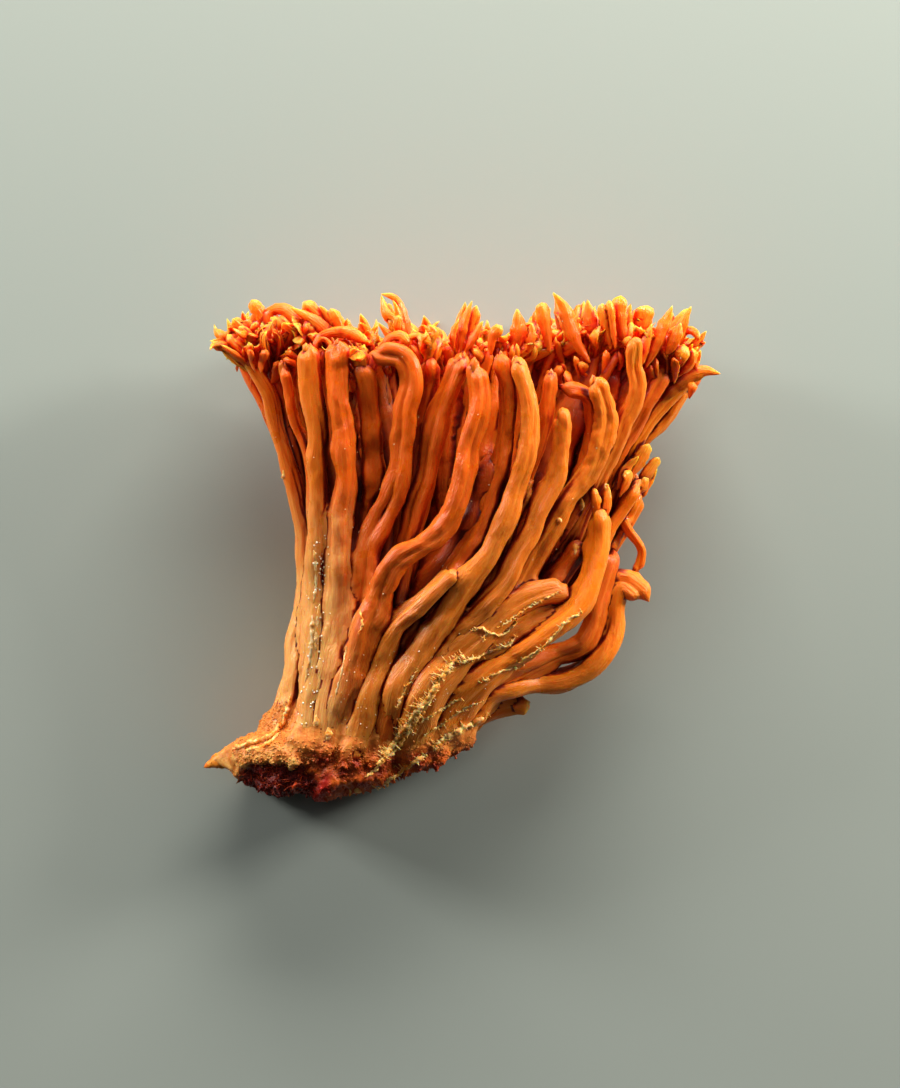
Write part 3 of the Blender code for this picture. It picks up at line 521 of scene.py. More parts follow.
# %% Petals that were drawn over the photo
# Each has the stem that it grows on, the points of its line, its height over that stem's end, its
# width, its thickness, and whether it is pointed
DRAWN = (
    ("stem_crown_01", ((-29, 32.6), (-31.5, 36.6), (-34.7, 41.4)), 5, 2.5, 1.4, False),
    ("stem_crown_01", ((-30, 31.5), (-35.5, 34.2), (-39.7, 33.4)), 5, 2.4, 1.0, True),
    ("stem_crown_01", ((-32, 33), (-37, 35), (-41.5, 34.6)), 3, 1.6, 0.9, True),
    ("stem_crown_01", ((-33, 34), (-38.2, 34.9), (-40.7, 36.6)), 2, 1.5, 0.8, True),
    ("stem_crown_01", ((-31.6, 33.5), (-35.3, 36.2), (-37.9, 38.2)), 4, 2.0, 0.9, False),
    ("stem_crown_01", ((-33, 30.5), (-35.5, 33), (-38.8, 35.4)), 6, 1.7, 0.8, True),
    ("stem_crown_02", ((-30, 33), (-31.9, 38.6), (-29.6, 39.7), (-27, 37.6), (-25.4, 33.8)), 4, 2.1, 1.3, False),
    ("stem_crown_03", ((-19, 32.6), (-23.5, 37.4), (-28.2, 40)), 5, 2.3, 1.2, True),
    ("stem_crown_03", ((-20, 33), (-23, 38), (-26, 41)), 4, 2.5, 1.2, False),
    ("stem_crown_03", ((-19, 33), (-21.6, 38), (-23.3, 40.3)), 4.5, 2.2, 1.1, True),
    ("stem_crown_04", ((-18.8, 32), (-20.2, 37), (-21.5, 39.8)), 6, 2.2, 1.1, False),
    ("stem_crown_04", ((-18.6, 32), (-18.6, 36), (-18.8, 38.2)), 5, 2.2, 1.2, True),
    ("stem_crown_04", ((-19, 32), (-17.6, 34.5), (-17.1, 35.8)), 4, 2.0, 1.0, True),
    ("stem_crown_04", ((-24.6, 31.5), (-23.2, 35), (-19.2, 35.9), (-15.3, 34.2)), 9, 2.1, 1.6, False),
    ("stem_crown_04", ((-24, 31), (-23.9, 33.9), (-22.6, 34.7), (-21.5, 33.7), (-22.2, 32.8), (-22.9, 33.4)),
     9.5, 1.0, 0.7, True),
    ("stem_crown_06", ((-8.2, 32.4), (-8.9, 36), (-9.8, 39.4), (-10.9, 41.6), (-13.2, 42.2)), 5, 2.1, 1.2, True),
    ("stem_crown_06", ((-8.8, 32.4), (-9.6, 36), (-10.4, 39.4), (-11.2, 41.2)), 5.5, 1.3, 0.8, True),
    ("stem_crown_06", ((-9.6, 33.2), (-11.8, 35.4), (-13.6, 37.4)), 6, 1.5, 0.8, True),
    ("stem_crown_06", ((-9.4, 34), (-10.4, 36.6), (-10.2, 38.7)), 6.5, 1.3, 0.8, False),
    ("stem_crown_06", ((-13, 31.8), (-12.2, 34.4), (-10, 35.2), (-8.4, 33.8)), 8, 1.9, 1.4, False),
    ("stem_crown_06", ((-8, 31.4), (-6.6, 33.6), (-7.4, 35.2), (-9, 34.6)), 8, 1.2, 0.9, False),
    ("stem_crown_08", ((-0.6, 32.4), (-0.2, 36.6), (0.8, 40.8)), 5, 1.5, 0.9, True),
    ("stem_crown_08", ((0, 32.2), (0.6, 37), (1.9, 41)), 5.6, 1.5, 0.9, True),
    ("stem_crown_08", ((0.8, 32.4), (1.6, 36.8), (2.7, 40.2)), 5, 1.4, 0.8, False),
    ("stem_crown_08", ((0.6, 32.4), (2.4, 35.4), (3.7, 37.6)), 6, 1.5, 0.9, True),
    ("stem_crown_08", ((-1.2, 32.6), (-1.2, 35.6), (-0.3, 38)), 6, 1.2, 0.8, True),
    ("stem_crown_09", ((5, 32), (5.3, 35), (6.8, 36.8)), 5, 2.0, 1.2, False),
    ("stem_crown_10", ((8.8, 32), (9.7, 36.2), (9.3, 39.7)), 5, 2.5, 1.1, True),
    ("stem_crown_10", ((11.2, 32.4), (11.9, 35.4), (11.7, 37.4)), 6, 1.5, 0.9, True),
    ("stem_crown_10", ((14.8, 32.4), (14.1, 37), (13.4, 40.8)), 5, 2.0, 1.2, False),
    ("stem_crown_11", ((21.4, 30.8), (19.4, 34), (18, 37.6), (17.2, 40), (15.3, 42.4)), 6, 2.4, 1.4, True),
    ("stem_crown_11", ((21.4, 33), (21.4, 37.6), (21, 41.3)), 4, 2.9, 1.0, True),
    ("stem_crown_11", ((17.6, 32), (19.8, 35.6), (19.6, 38.4)), 3, 2.6, 1.0, True),
    ("stem_crown_12", ((24.8, 33), (23.9, 37.4), (23.4, 40.6)), 5, 1.6, 1.1, False),
    ("stem_crown_12", ((25.6, 33), (24.9, 38), (24.5, 41.1)), 5.4, 1.6, 1.1, False),
    ("stem_crown_12", ((27.4, 33), (26.4, 38.6), (26.5, 41.9)), 4.4, 2.3, 1.2, False),
    ("stem_crown_13", ((28.6, 33.5), (27.8, 37.6), (28.2, 40.7)), 5, 1.8, 1.0, True),
    ("stem_crown_13", ((30, 33), (30.3, 37.2), (31, 40.4)), 4, 3.4, 1.1, False),
    ("stem_crown_13", ((29, 29), (30.4, 33.6), (31.6, 37.2)), 8, 2.4, 1.1, True),
    ("stem_crown_14", ((30.6, 30), (33, 35.6), (35, 40.2)), 6, 2.6, 1.1, True),
    ("stem_crown_14", ((34, 31), (36.2, 36), (38.2, 40.2)), 4, 2.3, 1.2, True),
    ("stem_crown_14", ((34, 32), (35.6, 35), (36.4, 37.4)), 6, 2.4, 1.0, True),
    ("stem_crown_15", ((36, 29.5), (39, 33.6), (40.8, 36.2)), 4, 1.9, 1.0, True),
    ("stem_crown_15", ((35.6, 32.6), (37.2, 35.8), (38.6, 36), (39.6, 34.6)), 5, 1.3, 0.9, False),
    ("stem_crown_15", ((36, 28.6), (38, 30.8), (38.4, 33.2)), 6, 2.0, 1.1, False),
    ("stem_crown_11", ((17.8, 29), (16.6, 33), (15.4, 36.4)), 0, 3.6, 1.6, False),
    ("stem_crown_12", ((20.8, 28), (20, 32), (19.2, 36)), 0, 4.2, 1.6, False),
    ("stem_crown_03", ((-22, 29), (-22.6, 33), (-22.8, 36.4)), 0, 3.8, 1.6, False),
    ("side_drop", ((6, -24.4), (8.8, -25.8), (11.6, -26.6)), 0.2, 3.0, 2.6, False),
    ("stem_right_horn", ((33.4, 24.4), (37, 28), (40.2, 29.5), (43.1, 29.1)), 0.5, 3.0, 1.9, True),
    ("stem_tier_outer", ((27.8, 6.6), (30.6, 12), (33.1, 15.3)), 1.0, 2.4, 0.9, False),
    ("stem_tier_outer", ((27.6, 6.6), (30.8, 10.6), (32.8, 13.4)), 0.0, 2.4, 0.9, True),
    ("stem_tier_inner", ((26.6, 9.4), (29.4, 14.4), (31.4, 17.4)), 1.0, 2.7, 0.9, False),
    ("stem_tier_inner", ((26.6, 9.4), (28.4, 14.2), (28.8, 17.5)), 0.4, 1.9, 1.1, True),
    ("stem_tier_inner", ((26, 9.8), (27.6, 13.4), (29.6, 15.4)), 2.0, 2.0, 0.7, True),
    ("stem_tier_inner", ((26.4, 8.6), (27.8, 11.6), (27.2, 13)), 2.6, 2.0, 0.7, False),
    ("stem_tier_outer", ((27.4, 7), (29, 10.6), (29, 12.6), (28, 12.6)), 2.4, 1.9, 0.7, True),
    ("stem_tier_outer", ((27.8, 8), (30.4, 10.4), (30.6, 12)), 2.0, 2.0, 0.7, False),
    ("stem_tier_inner", ((22.5, 11.8), (25, 14.2), (27, 15.5)), 1.0, 0.5, 0.4, True),
    ("stem_forked_top", ((22.4, 3.6), (22.4, 7.4), (21.8, 10.2)), 0.5, 2.3, 1.4, False),
    ("stem_forked_top", ((23.4, 3.6), (24, 7.6), (24.4, 10.8)), 0.3, 2.3, 1.3, True),
)


DRAWN_HANDS = ("stem_forked_top", "stem_tier_inner", "stem_tier_outer", "stem_right_horn")


def grow_lips(flesh, shape, draw):
    """Small folded lobes round the blunt end of a front stem."""
    line, size = shape["centre"], shape["size"][-1]
    end, way = line[-1], unit(line[-1] - line[-4])
    for _ in range(3):
        side = draw.normal(0, 1, 3)
        side = unit(side - side.dot(way) * way)
        points = [end - draw.uniform(4, 7) * way + 0.3 * size * side, end - 1.6 * way + 0.62 * size * side,
                  end + draw.uniform(-0.9, 0.5) * way + draw.uniform(0.2, 0.7) * size * side]
        wide = size * draw.uniform(0.9, 1.4)
        points = np.clip(points, LOW + 0.5 * wide, HIGH - 0.5 * wide)
        add_petal(flesh, draw, points, wide, 0.8 * wide, False, up=side, tips=(0.9, 1.0))


def grow_drawn():
    draw = np.random.default_rng(31)
    for node, way, over, wide, thick, pointed in DRAWN:
        z = STEMS[node]["line"][-1][2] + over
        lift = np.linspace(-0.6, 0.4, len(way))
        points = np.array([(x, y, z + up) for (x, y), up in zip(way, lift)])
        points = np.clip(points, LOW + thick / 2, HIGH - np.array([0.0, 0.0, 0.5 * wide]))
        tilt = 0.9 if node in DRAWN_HANDS else 0.25
        up = unit(np.array([tilt * draw.normal(), tilt * draw.normal(), 1.0]))
        add_petal(PIECES[node], draw, points, wide, thick, pointed, up=up, step=0.35)


# Sheets of flesh that fill the gaps behind the front stems, in the same form
WALLS = (
    ("stem_crown_02", ((-27, 12), (-28, 21), (-29, 30)), 0, 4, 2.2),
    ("stem_crown_04", ((-21, 8), (-21, 19), (-20.5, 31)), 0, 6, 2.4),
    ("stem_crown_05", ((-15, 6), (-14.6, 18), (-14, 31)), 0, 6, 2.4),
    ("stem_crown_06", ((-9.6, 4), (-9, 18), (-8, 31)), 0, 6, 2.4),
    ("stem_crown_08", ((-3, 4), (-2, 17), (-1, 31)), 0, 6, 2.4),
    ("stem_crown_09", ((2, 6), (4, 17), (5.4, 31)), 0, 6, 2.4),
    ("stem_crown_10", ((7, 6), (10, 17), (11.4, 31)), 0, 6, 2.4),
    ("stem_crown_11", ((12.6, 10), (16, 20), (18.2, 32)), 0, 6.5, 2.4),
    ("stem_crown_12", ((18, 12), (22, 21), (24.6, 32)), 0, 6.5, 2.4),
    ("stem_crown_13", ((21, 10), (26, 20), (29, 31)), 0, 6, 2.4),
)


def grow_walls():
    draw = np.random.default_rng(41)
    for node, way, over, wide, thick in WALLS:
        z = STEMS[node]["line"][-1][2] + over
        points = [(x, y, z + lift) for (x, y), lift in zip(way, (-2.0, -0.6, 0))]
        add_petal(PIECES[node], draw, points, wide, thick, False, up=(0, 0, 1), step=0.8, tips=(0.4, 1.0))


LIPS_ABOVE = 15.0
PIECES = {}
for number, node in enumerate(STEMS):
    PIECES[node] = grow_stem(node)
    draw = np.random.default_rng(500 + number)
    if STEMS[node]["fingers"] and node not in DRAWN_HANDS:
        grow_fingers(PIECES[node], STEMS[node], draw)
    if node.startswith(("stem_crown", "stem_back")):
        grow_branches(PIECES[node], STEMS[node], draw, 3)
    if not SHAPES[node]["hidden"] and not STEMS[node]["fingers"] and SHAPES[node]["centre"][-1, 1] > LIPS_ABOVE:
        grow_lips(PIECES[node], SHAPES[node], draw)
grow_petals()
grow_drawn()
grow_walls()
print("points in all stems:", sum(piece.count for piece in PIECES.values()))

# %% [markdown]
# The foot is torn off its ground: a crumbly cream slope on the left, a dark red cave where it broke,
# and rust-red crust on the right. The stems have no ends in it, they flow out of it. So the foot's
# flesh is the solid foot together with the lower ends of all stems, a little fattened, as one skin
# that a voxel remesh draws round them and that is then smoothed. Higher up each fattened end gets
# thinner than its stem and so vanishes in it. Then the cave is pushed in and crumbs are pushed out.


# %% One skin round the foot and the lower ends of the stems
FATTENED = ((0, 4, 8, 12), (1.22, 1.12, 0.98, 0.72))
VOXEL = 0.36


def grown(obj):
    """A plain mesh of an object as its modifiers leave it. The modifiers are removed."""
    graph = bpy.context.evaluated_depsgraph_get()
    mesh = bpy.data.meshes.new_from_object(obj.evaluated_get(graph))
    obj.modifiers.clear()
    return mesh


def fattened_ends():
    """A closed tube round the lower end of every stem that grows out of the foot."""
    ends = Flesh()
    for name, shape in SHAPES.items():
        if name in ("side_shoot", "side_drop"):
            continue
        along = shape["along"]
        used = along < FATTENED[0][-1]
        sides = HIDDEN_SIDES if shape["hidden"] else SIDES
        skin = PIECES[name].points[0].reshape(len(along), sides, 3)[used]
        middle = skin.mean(1, keepdims=True)
        skin = middle + (skin - middle) * np.interp(along[used], *FATTENED)[:, None, None]
        ends.rings(skin)
    return ends


def one_skin():
    """Points and faces of the skin round the solid foot and the fattened ends, in mm."""
    ends = fattened_ends()
    foot = frame["nodes"]["foot"].data
    spots = [*ends.points, np.array([vert.co for vert in foot.vertices]) / MM]
    faces = ends.faces + [[corner + ends.count for corner in face.vertices] for face in foot.polygons]
    mesh = bpy.data.meshes.new("foot and ends")
    mesh.from_pydata(np.vstack(spots).tolist(), [], faces)
    joined = bpy.data.objects.new("foot and ends", mesh)
    bpy.context.scene.collection.objects.link(joined)
    union = joined.modifiers.new("one skin", "REMESH")
    union.mode = "VOXEL"
    union.voxel_size = VOXEL
    skin = grown(joined)
    bpy.data.objects.remove(joined)
    return skin


# %% The foot
CAVE = ((-38.0, -38.0), (-36.0, -35.9), (-31.0, -35.4), (-27.0, -35.8), (-24.6, -37.2), (-24.0, -39.0))
CAVE_DEPTH = 3.0
HOLE = (-17.0, -34.6)


def rough_noise(spots, scale, detail=4):
    """Soft noise from about -1 to 1 at places in mm."""
    return np.array([fractal(Vector(spot) * scale, 1.0, 2.0, detail) for spot in spots])


def in_cave(spots, ragged):
    """1 in the torn cave of the foot, 0 outside it, with a ragged edge."""
    x, y = spots[:, 0] + ragged, spots[:, 1] + ragged
    edge = np.interp(x, [spot[0] for spot in CAVE], [spot[1] for spot in CAVE], left=-60, right=-60)
    inside = np.clip((edge - y) / 0.8, 0, 1) * np.clip((x + 37.8) / 1.2, 0, 1) * np.clip((-23.6 - x) / 1.0, 0, 1)
    return inside * np.clip(spots[:, 2] / 6, 0, 1)


def crusty(spots):
    """1 on the crumbly crust, 0 on the smooth flesh above it and on the thorn."""
    x, y = spots[:, 0], spots[:, 1]
    low = np.clip((-31 - y) / 4, 0, 1)
    slope = np.clip((-27 - x) / 3, 0, 1) * np.clip((-22 - y) / 5, 0, 1)
    return np.maximum(low, slope) * np.clip((x + 38.6) / 1.6, 0, 1)


def fine_foot(rounds=7):
    skin = one_skin()
    bm = bmesh.new()
    bm.from_mesh(skin)
    for _ in range(rounds):
        bmesh.ops.smooth_vert(bm, verts=bm.verts[:], factor=0.5, use_axis_x=True, use_axis_y=True, use_axis_z=True)
    bm.normal_update()
    bm.verts.index_update()
    spots = np.array([vert.co for vert in bm.verts])
    out = np.array([vert.normal for vert in bm.verts])
    lumps, crumbs = rough_noise(spots, 0.45), rough_noise(spots, 1.6, 3)
    crust = crusty(spots)
    cave = in_cave(spots, 1.2 * lumps)
    hole = np.exp(-((spots[:, 0] - HOLE[0]) ** 2 + (spots[:, 1] - HOLE[1]) ** 2) / 0.8) * (out[:, 2] > 0)
    teeth = np.clip(crumbs, 0, 1) ** 2 * (out[:, 1] < -0.3) * crust
    push = (0.12 + 0.38 * crust) * lumps + (0.08 + 0.30 * crust) * np.abs(crumbs) + 1.1 * teeth - 1.6 * hole
    push -= CAVE_DEPTH * cave * (0.75 + 0.5 * lumps) * np.clip(out[:, 2] + 0.55, 0, 1)
    push *= np.clip((spots[:, 0] + 41) / 3, 0, 1)
    tree = KDTree(sum(len(PIECES[name].points[0]) for name in SHAPES))
    grains = []
    for name in SHAPES:
        for spot, grain in zip(PIECES[name].points[0], PIECES[name].grain[0]):
            tree.insert(spot, len(grains))
            grains.append(grain)
    tree.balance()
    flesh = Flesh()
    flesh.grain.append(np.array([grains[tree.find(spot)[1]] for spot in spots]))
    flesh.points.append(spots + push[:, None] * out)
    flesh.tip.append(cave)
    flesh.faces = [[vert.index for vert in face.verts] for face in bm.faces]
    flesh.count = len(spots)
    bm.free()
    bpy.data.meshes.remove(skin)
    return flesh


PIECES["foot"] = fine_foot()
print("foot:", PIECES["foot"].count, "points")

# %% [markdown]
# All flesh is now one big mesh for a moment, so that one tree of Geometry Nodes can roughen it and
# then measure how deep in a nook each point lies: it sends rays out from the skin, and a ray that
# meets a neighbour soon comes from a narrow gap. The result is kept as an attribute, from which the
# colours paint shade and a red glow into the nooks.


# %% Helpers for node trees
def add_node(tree, kind, **settings):
    made = tree.nodes.new(kind)
    for name, value in settings.items():
        setattr(made, name, value)
    return made


def join(tree, source, target):
    tree.links.new(source, target)


def maths(tree, operation, first, second=None):
    made = add_node(tree, "ShaderNodeMath", operation=operation)
    for socket, value in zip(made.inputs, (first, second)):
        if isinstance(value, bpy.types.NodeSocket):
            join(tree, value, socket)
        elif value is not None:
            socket.default_value = value
    return made.outputs[0]


def vector_maths(tree, operation, first, second):
    made = add_node(tree, "ShaderNodeVectorMath", operation=operation)
    join(tree, first, made.inputs[0])
    target = made.inputs["Scale"] if operation == "SCALE" else made.inputs[1]
    if isinstance(second, bpy.types.NodeSocket):
        join(tree, second, target)
    else:
        target.default_value = second
    return made.outputs[0]


# %% The tree that roughens the flesh and finds its nooks
def weather_tree():
    tree = bpy.data.node_groups.new("roughen and find nooks", "GeometryNodeTree")
    tree.interface.new_socket("Geometry", in_out="INPUT", socket_type="NodeSocketGeometry")
    for name in ("Roughness", "Lump Scale", "Reach"):
        tree.interface.new_socket(name, in_out="INPUT", socket_type="NodeSocketFloat")
    tree.interface.new_socket("Geometry", in_out="OUTPUT", socket_type="NodeSocketGeometry")
    given = add_node(tree, "NodeGroupInput")
    result = add_node(tree, "NodeGroupOutput")
    spot = add_node(tree, "GeometryNodeInputPosition")
    normal = add_node(tree, "GeometryNodeInputNormal")
    crumple = add_node(tree, "ShaderNodeTexNoise")
    crumple.inputs["Detail"].default_value = 3.0
    join(tree, spot.outputs[0], crumple.inputs["Vector"])
    join(tree, given.outputs["Lump Scale"], crumple.inputs["Scale"])
    push = maths(tree, "MULTIPLY", maths(tree, "SUBTRACT", crumple.outputs["Fac"], 0.5), given.outputs["Roughness"])
    rough = add_node(tree, "GeometryNodeInputNamedAttribute", data_type="FLOAT")
    rough.inputs["Name"].default_value = "rough"
    push = maths(tree, "MULTIPLY", push, rough.outputs["Attribute"])
    moved = add_node(tree, "GeometryNodeSetPosition")
    join(tree, given.outputs["Geometry"], moved.inputs["Geometry"])
    join(tree, vector_maths(tree, "SCALE", normal.outputs[0], push), moved.inputs["Offset"])
    start = vector_maths(tree, "ADD", spot.outputs[0], vector_maths(tree, "SCALE", normal.outputs[0], 0.00006))
    aside = vector_maths(tree, "CROSS_PRODUCT", normal.outputs[0], (0.31, 0.17, 0.93))
    across = add_node(tree, "ShaderNodeVectorMath", operation="CROSS_PRODUCT")
    join(tree, normal.outputs[0], across.inputs[0])
    join(tree, aside, across.inputs[1])
    total = None
    for tilt, way in ((0, aside), (0.8, aside), (-0.8, aside), (0.8, across.outputs[0]), (-0.8, across.outputs[0])):
        ray = add_node(tree, "GeometryNodeRaycast", data_type="FLOAT")
        join(tree, moved.outputs["Geometry"], ray.inputs["Target Geometry"])
        join(tree, start, ray.inputs["Source Position"])
        join(tree, vector_maths(tree, "ADD", normal.outputs[0], vector_maths(tree, "SCALE", way, tilt)),
             ray.inputs["Ray Direction"])
        join(tree, given.outputs["Reach"], ray.inputs["Ray Length"])
        near = maths(tree, "SUBTRACT", 1.0, maths(tree, "DIVIDE", ray.outputs["Hit Distance"], given.outputs["Reach"]))
        near = maths(tree, "MULTIPLY", near, ray.outputs["Is Hit"])
        total = near if total is None else maths(tree, "ADD", total, near)
    kept = add_node(tree, "GeometryNodeStoreNamedAttribute", data_type="FLOAT", domain="POINT")
    kept.inputs["Name"].default_value = "nook"
    join(tree, moved.outputs["Geometry"], kept.inputs["Geometry"])
    join(tree, maths(tree, "MULTIPLY", total, 0.2), kept.inputs["Value"])
    join(tree, kept.outputs["Geometry"], result.inputs["Geometry"])
    return tree


def set_input(modifier, name, value):
    sockets = modifier.node_group.interface.items_tree
    found = [item for item in sockets if item.name == name and item.in_out == "INPUT"]
    modifier[found[0].identifier] = value


# %% Roughen everything at once and read it back
def make_mesh(name, points, faces, values):
    mesh = bpy.data.meshes.new(name)
    mesh.from_pydata((np.asarray(points) * MM).tolist(), [], faces)
    for key, data in values.items():
        data = np.ascontiguousarray(data, np.float32)
        kind, field = ("FLOAT_VECTOR", "vector") if data.ndim == 2 else ("FLOAT", "value")
        mesh.attributes.new(key, kind, "POINT").data.foreach_set(field, data.ravel())
    mesh.shade_smooth()
    return mesh


names = list(PIECES)
starts = np.cumsum([0] + [PIECES[name].count for name in names])
all_points = np.vstack([np.vstack(PIECES[name].points) for name in names])
all_faces = [[corner + start for corner in face] for name, start in zip(names, starts) for face in PIECES[name].faces]
rough = np.concatenate([np.full(PIECES[name].count, 1.4 if name == "foot" else 1.0) for name in names])
everything = bpy.data.objects.new("everything", make_mesh("everything", all_points, all_faces, {"rough": rough}))
bpy.context.scene.collection.objects.link(everything)
weather = everything.modifiers.new("weather", "NODES")
weather.node_group = weather_tree()
set_input(weather, "Roughness", 0.22 * MM)
set_input(weather, "Lump Scale", 900.0)
set_input(weather, "Reach", 5 * MM)
weathered = grown(everything)
spots = np.empty(len(all_points) * 3, np.float32)
weathered.vertices.foreach_get("co", spots)
spots = spots.reshape(-1, 3) / MM
nooks = np.empty(len(all_points), np.float32)
weathered.attributes["nook"].data.foreach_get("value", nooks)
bpy.data.objects.remove(everything)
bpy.data.meshes.remove(weathered)
inside = np.array([0.02, 0.02, 0.0])
spots = np.clip(spots, LOW + inside, HIGH - inside)
print("nooks: mean", nooks.mean().round(3), "deepest", nooks.max().round(2))

# %% [markdown]
# The flesh is waxy and lets light in, so it is a Principled shader with subsurface scattering. Its
# colour is orange with paler fibres along the grain, and it is painted paler at its edges as a painted
# sheen. In the nooks it is painted darker and redder, as painted shade with a painted red glow. Every
# kind of flesh shares two node groups: one draws the fibres, the other paints that shade and glow into
# the nooks.


# %% Shader groups: fibres along the grain, and the painted shade and red glow of the nooks
def group(name, inputs, outputs):
    tree = bpy.data.node_groups.new(name, "ShaderNodeTree")
    kinds = {"value": "NodeSocketFloat", "colour": "NodeSocketColor", "vector": "NodeSocketVector"}
    for label, kind, value in inputs:
        made = tree.interface.new_socket(label, in_out="INPUT", socket_type=kinds[kind])
        if value is not None:
            made.default_value = value
    for label, kind in outputs:
        tree.interface.new_socket(label, in_out="OUTPUT", socket_type=kinds[kind])
    return tree, add_node(tree, "NodeGroupInput"), add_node(tree, "NodeGroupOutput")


def noise(tree, vector, scale, detail=3.0, stretch=None):
    if stretch is not None:
        made = add_node(tree, "ShaderNodeMapping")
        made.inputs["Scale"].default_value = stretch
        join(tree, vector, made.inputs["Vector"])
        vector = made.outputs[0]
    made = add_node(tree, "ShaderNodeTexNoise")
    made.inputs["Scale"].default_value = scale
    made.inputs["Detail"].default_value = detail
    join(tree, vector, made.inputs["Vector"])
    return made.outputs["Fac"]


def spread(tree, value, low, high):
    """Stretch a value so that low becomes 0 and high becomes 1."""
    made = add_node(tree, "ShaderNodeMapRange", clamp=True)
    join(tree, value, made.inputs["Value"])
    made.inputs["From Min"].default_value = low
    made.inputs["From Max"].default_value = high
    return made.outputs["Result"]


def colour_socket(made, name):
    return [socket for socket in made.inputs if socket.name == name and socket.type == "RGBA"][0]


def mix(tree, share, first, second):
    made = add_node(tree, "ShaderNodeMix", data_type="RGBA")
    for socket, value in ((made.inputs[0], share), (colour_socket(made, "A"), first), (colour_socket(made, "B"), second)):
        if isinstance(value, bpy.types.NodeSocket):
            join(tree, value, socket)
        else:
            socket.default_value = value
    return [socket for socket in made.outputs if socket.type == "RGBA"][0]


def fibre_group():
    tree, given, result = group("fibres along the grain", [("Grain", "vector", None)],
                                [("Streaks", "value"), ("Height", "value")])
    grain = given.outputs["Grain"]
    broad = spread(tree, noise(tree, grain, 1.0, 4.0, (1.6, 1.6, 0.10)), 0.35, 0.68)
    fine = spread(tree, noise(tree, grain, 1.0, 3.0, (5.5, 5.5, 0.35)), 0.3, 0.7)
    streaks = maths(tree, "ADD", maths(tree, "MULTIPLY", broad, 0.65), maths(tree, "MULTIPLY", fine, 0.35))
    pits = noise(tree, grain, 1.0, 2.0, (3.0, 3.0, 2.0))
    join(tree, streaks, result.inputs["Streaks"])
    join(tree, maths(tree, "ADD", streaks, maths(tree, "MULTIPLY", pits, 0.5)), result.inputs["Height"])
    return tree


def nook_shade_group():
    tree, given, result = group("painted shade and glow in nooks", [("Colour", "colour", (1, 1, 1, 1)), ("Nook", "value", 0.0),
                                                   ("Upwards", "value", 0.0)], [("Colour", "colour")])
    # Painted shade and glow: the deeper a nook, the redder and then darker the colour, nearly black low down; towards
    # the crown both tints are brighter, a painted red glow of light shining through the flesh.
    warm = mix(tree, given.outputs["Upwards"], (0.36, 0.028, 0.001, 1), (0.86, 0.07, 0.002, 1))
    dark = mix(tree, given.outputs["Upwards"], (0.09, 0.0015, 0.0004, 1), (0.58, 0.014, 0.001, 1))
    first = mix(tree, spread(tree, given.outputs["Nook"], 0.08, 0.34), given.outputs["Colour"], warm)
    join(tree, mix(tree, spread(tree, given.outputs["Nook"], 0.26, 0.60), first, dark), result.inputs["Colour"])
    return tree


FIBRES = fibre_group()
NOOK_SHADE = nook_shade_group()


# %% The flesh material
def attribute(tree, name):
    return add_node(tree, "ShaderNodeAttribute", attribute_name=name)


def place_group(tree, kind):
    return add_node(tree, "ShaderNodeGroup", node_tree=kind)


